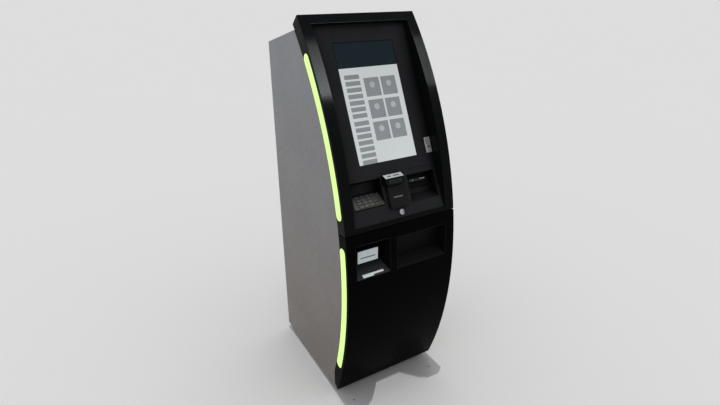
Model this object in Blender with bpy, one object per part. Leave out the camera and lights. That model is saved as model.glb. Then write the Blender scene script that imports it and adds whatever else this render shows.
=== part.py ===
"""Free-standing bank kiosk: a sheet-metal cabinet with a safe inside, a curved
front split into a lift-up service fascia and a tilting lower door.

Metres, +Z up, +X to the user's right, the user stands at -Y.
The origin is the middle of the footprint, on the floor.
"""

from math import asin, atan2, cos, pi, radians, sin, sqrt

import bmesh
import bpy
from mathutils import Matrix, Vector

# ---- driving dimensions ----------------------------------------------------
WIDTH = 0.580            # across the side panels
BACK_Y = 0.386           # rear face of the cabinet
FRONT_RADIUS = 1.728     # the front is one arc in side view
FRONT_Y = -0.379         # foremost line of that arc
FRONT_Z = 0.692          # height of the foremost line
TOP_Z = 1.817            # front top edge of the curved front
SEAM_Z = 0.967           # split between fascia and lower door, at the front
BOTTOM_Z = 0.039         # lower edge of door and side panels
FRAME_DEPTH = 0.061      # thickness of the curved front, across the arc
DOOR_BACK_Y = -0.2243    # the front's rear edge is vertical below here
COVER_FRONT_Z = 1.756    # top cover where it meets the fascia
COVER_REAR_Z = 1.680     # top cover at the rear face

GAP = 0.0003             # clearance between pieces that touch
PAST = 0.01              # how far a cutter reaches past the surface it cuts
SEAM_GAP = 0.004         # visible gap between fascia and lower door
SWING_GAP = 0.003        # gap behind the curved front, which the front pieces swing in
ARC_STEP = radians(1.25)   # facet size of the curved front

SHEET = 0.002            # cabinet steel
SKIN = 0.004             # front skin of the curved mouldings
SIDE_SKIN = 0.003        # side skin of the curved mouldings
HEADER_WALL = 0.032      # solid top of the fascia, which shows above the cover
TRAY_WALL = 0.0025       # pockets and recesses

PLATE_THICK = 0.010      # steel floor plate
PLATE_FRONT_Y = -0.386   # front of its two feet
PLATE_CHAMFER = 0.035
PLATE_TOE_Y = 0.022      # how far the outer corners are cut back
NOTCH_HALF = 0.0725      # half width of the notch between the feet
NOTCH_Y = -0.279         # rear edge of the notch
NOTCH_FLARE_X = 0.148
NOTCH_FLARE_Y = -0.361
FOOT_INNER_X = 0.186
ANCHOR_R = 0.007         # floor anchor holes
ANCHOR_X = 0.235
ANCHOR_Y = (-0.325, 0.370)    # one hole in each foot, and two behind the plinth

# ---- console panel: its own plane, s up along it, d out of it ---------------
PANEL_TILT = radians(25.65)   # back from vertical
PANEL_Y = -0.349              # lower edge of the panel
PANEL_Z = 0.9885
PANEL_HALF = 0.2395
PANEL_LENGTH = 0.870
PANEL_THICK = 0.003

SCREEN_HALF = 0.1490
SCREEN_LOW = 0.259
SCREEN_HIGH = 0.789
SCREEN_EDGE = 0.003           # black border of the glass
GLASS_THICK = 0.004
GLASS_SUNK = 0.001
MODULE_THICK = 0.038

HEADER_LEFT = -0.151
HEADER_RIGHT = 0.160
HEADER_LOW = 0.821
HEADER_HIGH = 0.866
HEADER_SUNK = 0.0012

PIN_LEFT = -0.219
PIN_RIGHT = -0.067
PIN_LOW = 0.070               # front edge of the key plate
PIN_PLATE_RISE = 0.064        # key plate: up the panel
PIN_PLATE_SINK = 0.053        # and into it
PIN_HIGH = 0.193
PIN_CEILING = 0.185
PIN_CEILING_SINK = 0.045

SCAN_LEFT = 0.070
SCAN_RIGHT = 0.222
SCAN_LOW = 0.053
SCAN_FLOOR_RISE = 0.038
SCAN_FLOOR_SINK = 0.046
SCAN_HIGH = 0.180
SCAN_BACK_HIGH = 0.170
SCAN_BACK_SINK = 0.050
SLIT_LEFT = 0.086
SLIT_RIGHT = 0.195
SLIT_S = 0.203
SLIT_TALL = 0.003
SLIT_DEEP = 0.0015

CARD_LEFT = -0.058
CARD_RIGHT = 0.040
CARD_LOW = 0.149
CARD_HIGH = 0.199
CARD_PROUD = 0.030
TAP_LEFT = -0.048
TAP_RIGHT = 0.043
TAP_LOW = 0.047
TAP_HIGH = 0.1455
TAP_PROUD = 0.013

COIN_LEFT = 0.2045
COIN_RIGHT = 0.2355
COIN_LOW = 0.259
COIN_HIGH = 0.331
COIN_PROUD = 0.004

LOCK_X = 0.006
LOCK_S = 0.025
LOCK_R = 0.0125
LOCK_BARREL_R = 0.0095
LOCK_CAM = 0.030

PANEL_RIM_PROUD = 0.018       # top wall of the frame, in front of the panel
CARD_MOUTH = 0.060
CARD_CORNER = 0.010
CARD_MOUTH_DEEP = 0.022
CARD_SLOPE_RUN = 0.019         # the top slope starts this far down the face
CARD_SLOPE_LOW = 0.008         # and ends this far out of the panel
TAP_CORNER = 0.006
COIN_CORNER = 0.003
CARD_SLOT = 0.003
SCANNER_SLOT = 0.0035
MODULE_FLANGE = 0.012
SCANNER_LEFT = 0.095
SCANNER_RIGHT = 0.205
SCANNER_LOW = 0.118
SCANNER_HIGH = 0.158
SCANNER_FACE = 0.040

# ---- key pad ---------------------------------------------------------------
KEY_ROWS = 4
KEY_COLUMNS = 4
KEY_W = 0.0205
KEY_L = 0.0130
KEY_PITCH_X = 0.0265
KEY_PITCH_Y = 0.0175
KEY_HIGH = 0.0030             # stands above the plate
KEY_TRAVEL = 0.0015
KEY_WELL = 0.0050             # depth of each key's well
KEY_CLEAR = 0.0006
PAD_THICK = 0.008
PAD_MARGIN = 0.002
PAD_FOOT = 0.004              # front edge of the key plate, back from the pocket's lip

# ---- lower door ------------------------------------------------------------
BILL_LEFT = -0.244            # left recess
BILL_RIGHT = -0.071
BILL_LOW = 0.752
BILL_HIGH = 0.912
BILL_BACK_Y = -0.285
BILL_FLOOR_RISE = 0.019
BEZEL_LEFT = -0.221
BEZEL_RIGHT = -0.115
BEZEL_LOW = 0.808
BEZEL_HIGH = 0.870
BEZEL_FRONT_Y = -0.336
BEZEL_SLOT_Z = 0.829
BEZEL_SLOT_TALL = 0.008
BEZEL_SLOT_DEEP = 0.030
LIP_LEFT = -0.211
LIP_RIGHT = -0.102
LIP_Y = -0.374
LIP_DEEP = 0.014
LIP_TALL = 0.006
CASH_LEFT = -0.033            # right recess, the cash outlet
CASH_RIGHT = 0.240
CASH_LOW = 0.752
CASH_HIGH = 0.904
CASH_BACK_Y = -0.305
CASH_FLOOR_RISE = 0.010
OUTLET_LEFT = 0.012
OUTLET_RIGHT = 0.195
OUTLET_LOW = 0.792
OUTLET_HIGH = 0.834
SHUTTER_THICK = 0.003
SHUTTER_LAP = 0.006
SHUTTER_TRAVEL = 0.040
GUIDE_CLEAR = 0.0005
ACCEPTOR_BACK_Y = -0.180

# ---- cabinet ---------------------------------------------------------------
PLINTH_INSET = 0.030
PAN_FRONT_Y = -0.190
FLOOR_Z = 0.052
SHELF_Z = 0.950
SHELF_FRONT_Y = -0.270
SAFE_HALF = 0.235
SAFE_FRONT_Y = -0.120
SAFE_BACK_Y = 0.360
SAFE_TOP_Z = 0.900
SAFE_WALL = 0.006
SAFE_DOOR_THICK = 0.010
HANDLE_X = 0.080
HANDLE_Z = 0.480
CASSETTE_TALL = 0.260
CHUTE_FRONT_Y = -0.286
SAFE_DOOR_RISE = 0.030
HANDLE_HUB_R = 0.016
HANDLE_BORE_R = 0.008
HANDLE_STAND = 0.045
HANDLE_ROD = 0.005
HANDLE_LONG = 0.060
CASSETTES = 2
CASSETTE_HALF = 0.150
CHUTE_MARGIN = 0.010
CHUTE_BACK_Y = -0.090
SHELF_FLANGE = 0.020
VENT_ROWS = 6
VENT_HALF = 0.110
VENT_TALL = 0.005
VENT_PITCH = 0.014
VENT_Z = 1.450
INLET_X = -0.180
INLET_Z = 0.150
INLET_HALF = 0.014
INLET_TALL = 0.024
INLET_DEEP = 0.024
INLET_WELL = 0.018

# ---- hinges ----------------------------------------------------------------
PIN_CLEAR = 0.0005
ARM_THICK = 0.006
ARM_SEAT = 0.0005             # glue gap between an arm and the skin that it is fixed to
TILT_AXIS_Y = -0.235          # the lower door tilts forward about this line
TILT_AXIS_Z = 0.058
TILT_ARM_X = 0.250
TILT_ARM_TOP_Z = 0.100
TILT_BOSS_R = 0.0070
TILT_PIN_R = 0.0035
TONGUE_X = 0.2865             # outer face of the lower brackets, inside the door's side skin
LIFT_AXIS_SINK = 0.040        # fascia axis, in from the top cover's front edge
LIFT_ARM_X = 0.262
LIFT_ARM_TOP_Z = 1.712
LIFT_ARM_LOW_Z = 1.665
LIFT_BOSS_R = 0.009
LIFT_PIN_R = 0.005

# ---- light strips ----------------------------------------------------------
STRIP_MARGIN = 0.0157         # black margin in front of each strip
STRIP_PROUD = 0.0015
STRIP_BACK = 0.0010
UPPER_STRIP = (1.025, 1.669)  # lowest and highest point
LOWER_STRIP = (0.213, 0.903)


def clear_scene():
    for found in list(bpy.data.objects):
        bpy.data.objects.remove(found, do_unlink=True)


def material(name, colour, roughness, metallic=0.0):
    made = bpy.data.materials.new(name)
    made.use_nodes = True
    shader = made.node_tree.nodes["Principled BSDF"]
    shader.inputs["Base Color"].default_value = (*colour, 1.0)
    shader.inputs["Roughness"].default_value = roughness
    shader.inputs["Metallic"].default_value = metallic
    return made


# ---- geometry helpers ------------------------------------------------------
ARC_Y = FRONT_Y + FRONT_RADIUS
UP = Vector((0.0, sin(PANEL_TILT), cos(PANEL_TILT)))
OUT = Vector((0.0, -cos(PANEL_TILT), sin(PANEL_TILT)))


def arc_y(z, inset=0.0):
    """Depth of the front arc, or of one inset from it, at a height."""
    return ARC_Y - sqrt((FRONT_RADIUS - inset) ** 2 - (z - FRONT_Z) ** 2)


def arc_point(angle, inset=0.0):
    radius = FRONT_RADIUS - inset
    return ARC_Y - radius * cos(angle), FRONT_Z + radius * sin(angle)


def arc_angle(z):
    return asin((z - FRONT_Z) / FRONT_RADIUS)


def arc_run(low, high, inset=0.0, back_y=None):
    """Points along the front arc between two angles; its lower half stays in front of back_y."""
    count = max(2, round(abs(high - low) / ARC_STEP))
    points = [arc_point(low + (high - low) * i / count, inset) for i in range(count + 1)]
    if back_y is not None:
        points = [(min(y, back_y) if z < FRONT_Z else y, z) for y, z in points]
    return points


def panel_point(s, d=0.0):
    """Side-view point s up the console panel and d out of it."""
    point = Vector((0.0, PANEL_Y, PANEL_Z)) + UP * s + OUT * d
    return point.y, point.z


def prism(name, outline, low, high, axis="X"):
    """A straight-sided solid: an outline in the plane across the axis."""
    place = {
        "X": lambda a, b, c: (c, a, b),
        "Y": lambda a, b, c: (a, c, b),
        "Z": lambda a, b, c: (a, b, c),
    }[axis]
    shape = bmesh.new()
    lower = [shape.verts.new(place(a, b, low)) for a, b in outline]
    upper = [shape.verts.new(place(a, b, high)) for a, b in outline]
    shape.faces.new(lower)
    shape.faces.new(upper)
    count = len(outline)
    for i in range(count):
        j = (i + 1) % count
        shape.faces.new((lower[i], lower[j], upper[j], upper[i]))
    bmesh.ops.recalc_face_normals(shape, faces=shape.faces)
    return to_object(name, shape)


def to_object(name, shape):
    mesh = bpy.data.meshes.new(name)
    shape.to_mesh(mesh)
    shape.free()
    made = bpy.data.objects.new(name, mesh)
    bpy.context.scene.collection.objects.link(made)
    return made


def box(name, low, high):
    outline = [(low[0], low[1]), (high[0], low[1]), (high[0], high[1]), (low[0], high[1])]
    return prism(name, outline, low[2], high[2], "Z")


def round_box(name, low, high, radius, axis="Z", steps=4):
    """A box whose corners across the axis are rounded."""
    order = {"X": (1, 2, 0), "Y": (0, 2, 1), "Z": (0, 1, 2)}[axis]
    a, b, c = order
    outline = []
    corners = ((high[a], high[b], 0), (low[a], high[b], 1), (low[a], low[b], 2), (high[a], low[b], 3))
    for x, y, quarter in corners:
        inner_x = x - radius if quarter in (0, 3) else x + radius
        inner_y = y - radius if quarter in (0, 1) else y + radius
        for i in range(steps + 1):
            turn = (quarter + i / steps) * pi / 2
            outline.append((inner_x + radius * cos(turn), inner_y + radius * sin(turn)))
    return prism(name, outline, low[c], high[c], axis)


def cylinder(name, centre, radius, low, high, axis="Z", sides=24):
    outline = [
        (centre[0] + radius * cos(2 * pi * i / sides), centre[1] + radius * sin(2 * pi * i / sides))
        for i in range(sides)
    ]
    made = prism(name, outline, low, high, axis)
    made.data.shade_smooth()
    made.data.set_sharp_from_angle(angle=radians(35))
    return made


def boolean(target, other, operation):
    """Cuts or joins one helper into the target, and keeps the result as its mesh."""
    change = target.modifiers.new(operation, "BOOLEAN")
    change.operation = operation
    change.solver = "EXACT"
    change.object = other
    bpy.context.view_layer.update()
    graph = bpy.context.evaluated_depsgraph_get()
    result = bpy.data.meshes.new_from_object(target.evaluated_get(graph))
    old = target.data
    target.modifiers.clear()
    target.data = result
    result.name = old.name
    bpy.data.meshes.remove(old)
    spare = other.data
    bpy.data.objects.remove(other, do_unlink=True)
    bpy.data.meshes.remove(spare)
    return target


def cut(target, *others):
    for other in others:
        boolean(target, other, "DIFFERENCE")
    return target


def join(target, *others):
    for other in others:
        boolean(target, other, "UNION")
    return target


def on_panel(made):
    """Moves a solid modelled as (x, s, d) onto the console panel's plane."""
    turn = Matrix.Rotation(pi / 2 - PANEL_TILT, 4, "X")
    made.data.transform(Matrix.Translation((0.0, PANEL_Y, PANEL_Z)) @ turn)
    return made


def panel_box(name, low, high, radius=0.0):
    made = round_box(name, low, high, radius) if radius else box(name, low, high)
    return on_panel(made)


def empty(name, place, parent=None):
    made = bpy.data.objects.new(name, None)
    bpy.context.scene.collection.objects.link(made)
    made.location = place
    bpy.context.view_layer.update()
    if parent:
        carry([made], parent)
    return made


def carry(pieces, parent):
    """Parents pieces without moving them."""
    bpy.context.view_layer.update()
    for piece in pieces:
        piece.parent = parent
        piece.matrix_parent_inverse = parent.matrix_world.inverted()
    bpy.context.view_layer.update()


def set_origin(made, place):
    """Puts a piece's origin on its joint's axis."""
    made.data.transform(Matrix.Translation(-Vector(place)))
    made.location = place
    return made


def paint(made, finish):
    made.data.materials.clear()
    made.data.materials.append(finish)
    return made


# ---- base and cabinet ------------------------------------------------------
def base_plate():
    """Floor plate with two feet in front, a notch between them, and anchor holes."""
    half = WIDTH / 2
    right = [
        (half, BACK_Y),
        (half, PLATE_FRONT_Y + PLATE_TOE_Y),
        (half - PLATE_CHAMFER, PLATE_FRONT_Y),
        (FOOT_INNER_X, PLATE_FRONT_Y),
        (NOTCH_FLARE_X, NOTCH_FLARE_Y),
        (NOTCH_HALF, NOTCH_Y),
    ]
    left = [(-x, y) for x, y in reversed(right)]
    made = prism("base_plate", right + left, 0.0, PLATE_THICK, "Z")
    for side in (-1, 1):
        for y in ANCHOR_Y:
            hole = cylinder("hole", (side * ANCHOR_X, y), ANCHOR_R, -PAST, PLATE_THICK + PAST, sides=16)
            cut(made, hole)
    return paint(made, material("plate_steel", (0.30, 0.30, 0.30), 0.40, 0.9))


def floor_tray():
    """Cabinet floor, with a folded plinth under it that stands on the plate."""
    half = WIDTH / 2 - PLINTH_INSET
    rear = BACK_Y - PLINTH_INSET
    made = box("floor_tray", (-half, PAN_FRONT_Y, PLATE_THICK + GAP), (half, rear, FLOOR_Z - SHEET / 2))
    inner_low = (-half + SHEET, PAN_FRONT_Y + SHEET, PLATE_THICK - PAST)
    cut(made, box("hollow", inner_low, (half - SHEET, rear - SHEET, FLOOR_Z - SHEET)))
    inner = WIDTH / 2 - SHEET - GAP
    join(made, box("pan", (-inner, PAN_FRONT_Y + GAP, FLOOR_Z - SHEET),
                   (inner, BACK_Y - SHEET - GAP, FLOOR_Z)))
    return paint(made, material("tray_zinc", (0.35, 0.36, 0.37), 0.45, 0.8))


def side_outline():
    """Side panel: its front edge follows the rear of the curved front."""
    depth = FRAME_DEPTH + SWING_GAP
    top = asin((COVER_FRONT_Z - FRONT_Z) / (FRONT_RADIUS - depth))
    low = asin((BOTTOM_Z - FRONT_Z) / (FRONT_RADIUS - depth))
    front = arc_run(low, top, depth, DOOR_BACK_Y + SWING_GAP)
    return front + [(BACK_Y, COVER_REAR_Z), (BACK_Y, BOTTOM_Z)]


def side_panel(name, side):
    outer = side * WIDTH / 2
    inner = side * (WIDTH / 2 - SHEET)
    made = prism(name, side_outline(), min(outer, inner), max(outer, inner))
    return paint(made, material(name + "_paint", (0.22, 0.22, 0.22), 0.35, 0.7))


def top_cover():
    """Sloping lid between the side panels."""
    inner = WIDTH / 2 - SHEET - GAP
    depth = FRAME_DEPTH + SWING_GAP
    front_y = arc_y(COVER_FRONT_Z, depth)
    outline = [
        (front_y, COVER_FRONT_Z),
        (BACK_Y, COVER_REAR_Z),
        (BACK_Y, COVER_REAR_Z - SHEET),
        (front_y, COVER_FRONT_Z - SHEET),
    ]
    made = prism("top_cover", outline, -inner, inner)
    return paint(made, material("cover_paint", (0.22, 0.22, 0.22), 0.35, 0.7))


def rear_panel():
    inner = WIDTH / 2 - SHEET - GAP
    high = COVER_REAR_Z - SHEET - GAP
    made = box("rear_panel", (-inner, BACK_Y - SHEET, BOTTOM_Z), (inner, BACK_Y, high))
    for i in range(VENT_ROWS):
        z = VENT_Z + i * VENT_PITCH
        low = (-VENT_HALF, BACK_Y - PAST, z)
        cut(made, box("vent", low, (VENT_HALF, BACK_Y + PAST, z + VENT_TALL)))
    inlet_low = (INLET_X - INLET_HALF - GAP, BACK_Y - PAST, INLET_Z - INLET_TALL / 2 - GAP)
    inlet_high = (INLET_X + INLET_HALF + GAP, BACK_Y + PAST, INLET_Z + INLET_TALL / 2 + GAP)
    cut(made, box("inlet_hole", inlet_low, inlet_high))
    return paint(made, material("rear_paint", (0.22, 0.22, 0.22), 0.4, 0.7))


def mid_shelf():
    """Shelf between the safe bay and the service bay; its flanges meet the side panels."""
    inner = WIDTH / 2 - SHEET - GAP
    made = box("mid_shelf", (-inner, SHELF_FRONT_Y, SHELF_Z), (inner, BACK_Y - SHEET - GAP, SHELF_Z + SHEET))
    for side in (-1, 1):
        edges = sorted((side * inner, side * (inner - SHEET)))
        flange = box("flange", (edges[0], SHELF_FRONT_Y, SHELF_Z + SHEET / 2),
                     (edges[1], BACK_Y - SHEET - GAP, SHELF_Z + SHELF_FLANGE))
        join(made, flange)
    return paint(made, material("shelf_zinc", (0.35, 0.36, 0.37), 0.45, 0.8))


def safe_body():
    """Five-sided steel safe, open in front."""
    made = box("safe_body", (-SAFE_HALF, SAFE_FRONT_Y, FLOOR_Z + GAP), (SAFE_HALF, SAFE_BACK_Y, SAFE_TOP_Z))
    inner = SAFE_HALF - SAFE_WALL
    low = (-inner, SAFE_FRONT_Y - PAST, FLOOR_Z + GAP + SAFE_WALL)
    cut(made, box("hollow", low, (inner, SAFE_BACK_Y - SAFE_WALL, SAFE_TOP_Z - SAFE_WALL)))
    return paint(made, material("safe_grey", (0.16, 0.17, 0.18), 0.5, 0.5))


def safe_door():
    """Closes the safe from in front; the notes leave through the slot near its top."""
    back = SAFE_FRONT_Y - GAP
    low = (-SAFE_HALF, back - SAFE_DOOR_THICK, FLOOR_Z + SAFE_DOOR_RISE)
    made = box("safe_door", low, (SAFE_HALF, back, SAFE_TOP_Z))
    chute = (OUTLET_LEFT - CHUTE_MARGIN - GAP, back - 0.05, OUTLET_LOW - CHUTE_MARGIN - GAP)
    chute_high = (OUTLET_RIGHT + CHUTE_MARGIN + GAP, back + PAST, OUTLET_HIGH + CHUTE_MARGIN + GAP)
    cut(made, box("note_slot", chute, chute_high))
    spindle = cylinder("spindle", (HANDLE_X, HANDLE_Z), HANDLE_BORE_R, back - 0.05, back + PAST, "Y", 20)
    cut(made, spindle)
    return paint(made, material("safe_door_grey", (0.18, 0.19, 0.20), 0.45, 0.5))


def safe_handle():
    """Three-spoke bolt handle on a spindle through the safe door."""
    front = SAFE_FRONT_Y - GAP - SAFE_DOOR_THICK
    centre = (HANDLE_X, HANDLE_Z)
    made = cylinder("safe_handle", centre, HANDLE_HUB_R, front - HANDLE_STAND, front - 2 * GAP, "Y", 20)
    spindle = cylinder("spindle", centre, HANDLE_BORE_R - PIN_CLEAR, front - HANDLE_STAND / 2,
                       SAFE_FRONT_Y - GAP, "Y", 20)
    join(made, spindle)
    for i in range(3):
        turn = pi / 2 + i * 2 * pi / 3
        spoke = box("spoke", (0.0, -HANDLE_ROD, -HANDLE_ROD), (HANDLE_LONG, HANDLE_ROD, HANDLE_ROD))
        spoke.data.transform(
            Matrix.Translation((HANDLE_X, front - HANDLE_STAND + 2 * HANDLE_ROD, HANDLE_Z))
            @ Matrix.Rotation(turn, 4, "Y")
        )
        join(made, spoke)
    set_origin(made, (HANDLE_X, front, HANDLE_Z))
    return paint(made, material("handle_steel", (0.6, 0.6, 0.6), 0.3, 1.0))


def cassette(index):
    """Cash cassette standing on the safe floor or on the one below it."""
    low_z = FLOOR_Z + 2 * GAP + SAFE_WALL + index * (CASSETTE_TALL + GAP)
    name = "cash_cassette_" + str(index + 1)
    made = box(name, (-CASSETTE_HALF, SAFE_FRONT_Y + 0.02, low_z),
               (CASSETTE_HALF, SAFE_BACK_Y - 0.06, low_z + CASSETTE_TALL))
    grip = box("grip", (-CASSETTE_HALF / 2, SAFE_FRONT_Y, low_z + CASSETTE_TALL * 0.6),
               (CASSETTE_HALF / 2, SAFE_FRONT_Y + 0.035, low_z + CASSETTE_TALL * 0.8))
    cut(made, grip)
    return paint(made, material(name + "_blue", (0.08, 0.10, 0.16), 0.5))


def dispenser():
    """Note dispenser on the cassettes; its hollow nose runs out through the safe door."""
    low_z = FLOOR_Z + 2 * GAP + SAFE_WALL + CASSETTES * (CASSETTE_TALL + GAP)
    nose_low = (OUTLET_LEFT - CHUTE_MARGIN, CHUTE_FRONT_Y, OUTLET_LOW - CHUTE_MARGIN)
    nose_high = (OUTLET_RIGHT + CHUTE_MARGIN, CHUTE_BACK_Y + 0.010, OUTLET_HIGH + CHUTE_MARGIN)
    made = box("cash_dispenser", (-CASSETTE_HALF, CHUTE_BACK_Y, low_z),
               (CASSETTE_HALF + 0.060, SAFE_BACK_Y - 0.060, OUTLET_HIGH + 2 * CHUTE_MARGIN))
    join(made, box("nose", nose_low, nose_high))
    path_low = (nose_low[0] + SHEET, CHUTE_FRONT_Y - PAST, nose_low[2] + SHEET)
    cut(made, box("path", path_low, (nose_high[0] - SHEET, CHUTE_BACK_Y + 0.050, nose_high[2] - SHEET)))
    return paint(made, material("dispenser_grey", (0.25, 0.25, 0.26), 0.5, 0.4))


def service_box(name, low, high, colour):
    made = round_box(name, low, high, 0.003, "Z", 2)
    return paint(made, material(name + "_case", colour, 0.45, 0.6))


def power_inlet():
    """Mains inlet in the rear panel; its socket faces back."""
    low = (INLET_X - INLET_HALF, BACK_Y - INLET_DEEP, INLET_Z - INLET_TALL / 2)
    made = box("power_inlet", low, (INLET_X + INLET_HALF, BACK_Y, INLET_Z + INLET_TALL / 2))
    well_low = (INLET_X - INLET_HALF + 0.004, BACK_Y - INLET_WELL, INLET_Z - INLET_TALL / 2 + 0.004)
    well_high = (INLET_X + INLET_HALF - 0.004, BACK_Y + PAST, INLET_Z + INLET_TALL / 2 - 0.004)
    cut(made, box("well", well_low, well_high))
    return paint(made, material("inlet_black", (0.02, 0.02, 0.02), 0.4))


# ---- fascia ----------------------------------------------------------------
def curved_shell(name, low, high, top_wall=SKIN, back_y=None):
    """A curved slab across the full width, hollow behind its front, side and end skins."""
    half = WIDTH / 2
    front = arc_run(low, high)
    back = arc_run(high, low, FRAME_DEPTH, back_y)
    made = prism(name, front + back, -half, half)
    end = SKIN / FRONT_RADIUS
    top = high - top_wall / FRONT_RADIUS
    inner_front = arc_run(low + end, top, SKIN)
    inner_back = arc_run(top, low + end, FRAME_DEPTH + 0.02)
    return cut(made, prism("hollow", inner_front + inner_back, -half + SIDE_SKIN, half - SIDE_SKIN))


def fascia_frame():
    """Curved frame of the fascia, with deep walls round the sunken console panel."""
    seam = arc_angle(SEAM_Z) + SEAM_GAP / 2 / FRONT_RADIUS
    made = curved_shell("fascia_frame", seam, arc_angle(TOP_Z), HEADER_WALL)
    rim = PANEL_HALF + SKIN
    top_y, top_z = panel_point(PANEL_LENGTH + SKIN, PANEL_RIM_PROUD)
    low_angle = asin((PANEL_Z + SKIN - FRONT_Z) / FRONT_RADIUS)
    core_front = arc_run(low_angle, asin((top_z + 0.006 - FRONT_Z) / FRONT_RADIUS), 0.001)
    core = core_front + [(top_y, top_z), panel_point(PANEL_LENGTH + SKIN, GAP), panel_point(SKIN, GAP)]
    join(made, prism("core", core, -rim, rim))
    opening = panel_box("opening", (-PANEL_HALF, 0.0, -0.2), (PANEL_HALF, PANEL_LENGTH, 0.2))
    cut(made, opening)
    return paint(made, material("frame_gloss_black", (0.012, 0.012, 0.014), 0.12))


def pin_outline(grow=0.0):
    """PIN pocket in side view: key plate, back wall and ceiling."""
    return [
        panel_point(PIN_LOW - grow, 0.05 * (grow == 0.0)),
        panel_point(PIN_LOW - grow, 0.0),
        panel_point(PIN_LOW + PIN_PLATE_RISE - grow, -PIN_PLATE_SINK - grow),
        panel_point(PIN_CEILING + grow, -PIN_CEILING_SINK - grow),
        panel_point(PIN_HIGH + grow, 0.0),
        panel_point(PIN_HIGH + grow, 0.05 * (grow == 0.0)),
    ]


def scan_outline(grow=0.0):
    """Scanner pocket in side view: sloping floor, back wall and ceiling."""
    return [
        panel_point(SCAN_LOW - grow, 0.05 * (grow == 0.0)),
        panel_point(SCAN_LOW - grow, 0.0),
        panel_point(SCAN_LOW + SCAN_FLOOR_RISE - grow, -SCAN_FLOOR_SINK - grow),
        panel_point(SCAN_BACK_HIGH + grow, -SCAN_BACK_SINK - grow),
        panel_point(SCAN_HIGH + grow, 0.0),
        panel_point(SCAN_HIGH + grow, 0.05 * (grow == 0.0)),
    ]


def console_panel():
    """Flat console plate, with its two pockets folded into it and openings for what it carries."""
    rim = PANEL_HALF + SKIN - GAP
    made = panel_box("console_panel", (-rim, GAP, -PANEL_THICK), (rim, PANEL_LENGTH + SKIN, 0.0))
    for left, right, outline in ((PIN_LEFT, PIN_RIGHT, pin_outline), (SCAN_LEFT, SCAN_RIGHT, scan_outline)):
        shell = outline(TRAY_WALL)[1:5]
        join(made, prism("shell", shell, left - TRAY_WALL, right + TRAY_WALL))
    for left, right, outline in ((PIN_LEFT, PIN_RIGHT, pin_outline), (SCAN_LEFT, SCAN_RIGHT, scan_outline)):
        cut(made, prism("pocket", outline(), left, right))
    edge = SCREEN_HALF + SCREEN_EDGE + GAP
    cut(made, panel_box("window", (-edge, SCREEN_LOW - SCREEN_EDGE - GAP, -0.05),
                        (edge, SCREEN_HIGH + SCREEN_EDGE + GAP, 0.05)))
    cut(made, panel_box("header", (HEADER_LEFT, HEADER_LOW, -HEADER_SUNK),
                        (HEADER_RIGHT, HEADER_HIGH, 0.05)))
    cut(made, panel_box("slit", (SLIT_LEFT, SLIT_S, -SLIT_DEEP), (SLIT_RIGHT, SLIT_S + SLIT_TALL, 0.05)))
    cut(made, on_panel(cylinder("lock_hole", (LOCK_X, LOCK_S), LOCK_BARREL_R + PIN_CLEAR,
                                -0.05, 0.05, sides=20)))
    scan_low, scan_high = scanner_span()
    cut(made, panel_box("scanner_hole", (scan_low[0] - GAP, scan_low[1] - GAP, -0.09),
                        (scan_high[0] + GAP, scan_high[1] + GAP, -0.03)))
    return paint(made, material("console_satin_black", (0.022, 0.023, 0.025), 0.42))


def scanner_span():
    """Scanner body, in panel terms; it sits in the pocket's back wall."""
    return ((SCANNER_LEFT, SCANNER_LOW, -SCAN_BACK_SINK - 0.030),
            (SCANNER_RIGHT, SCANNER_HIGH, -SCANNER_FACE))


def scanner():
    """Note and code reader in the right pocket, with a slot across its face."""
    low, high = scanner_span()
    made = panel_box("code_scanner", low, high)
    slot_low = (low[0] + 0.008, (low[1] + high[1]) / 2 - SCANNER_SLOT / 2, high[2] - 0.012)
    slot_high = (high[0] - 0.008, (low[1] + high[1]) / 2 + SCANNER_SLOT / 2, high[2] + PAST)
    cut(made, panel_box("slot", slot_low, slot_high))
    return paint(made, material("scanner_black", (0.015, 0.016, 0.016), 0.25))


def display_glass():
    edge = SCREEN_HALF + SCREEN_EDGE
    low = (-edge, SCREEN_LOW - SCREEN_EDGE, -GLASS_SUNK - GLASS_THICK)
    made = panel_box("display_glass", low, (edge, SCREEN_HIGH + SCREEN_EDGE, -GLASS_SUNK))
    return paint(made, material("screen_glass", (0.60, 0.62, 0.63), 0.08))


def display_module():
    """Display chassis behind the glass; its flange lies against the console panel's back."""
    front = -GLASS_SUNK - GLASS_THICK - GAP
    edge = SCREEN_HALF + MODULE_FLANGE
    low = (-edge, SCREEN_LOW - MODULE_FLANGE, front - MODULE_THICK)
    made = panel_box("display_module", low, (edge, SCREEN_HIGH + MODULE_FLANGE, front))
    return paint(made, material("module_steel", (0.45, 0.46, 0.47), 0.4, 0.8))


def plate_frame(parent):
    """Frame of the key plate: x across, y up its slope, z out of it."""
    made = empty("key_plate_frame", (0.0, *panel_point(PIN_LOW, 0.0)))
    made.rotation_euler = (plate_tilt(), 0.0, 0.0)
    carry([made], parent)
    return made


def plate_tilt():
    return pi / 2 - PANEL_TILT - atan2(PIN_PLATE_SINK, PIN_PLATE_RISE)


def on_plate(made):
    """Moves a solid modelled in the key plate's frame to its place in the PIN pocket."""
    y, z = panel_point(PIN_LOW, 0.0)
    made.data.transform(Matrix.Translation((0.0, y, z)) @ Matrix.Rotation(plate_tilt(), 4, "X"))
    return made


def key_centres():
    centre_x = (PIN_LEFT + PIN_RIGHT) / 2
    centre_y = sqrt(PIN_PLATE_RISE ** 2 + PIN_PLATE_SINK ** 2) / 2
    for row in range(KEY_ROWS):
        for column in range(KEY_COLUMNS):
            x = centre_x + (column - (KEY_COLUMNS - 1) / 2) * KEY_PITCH_X
            y = centre_y + ((KEY_ROWS - 1) / 2 - row) * KEY_PITCH_Y
            yield row, column, x, y


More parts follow.
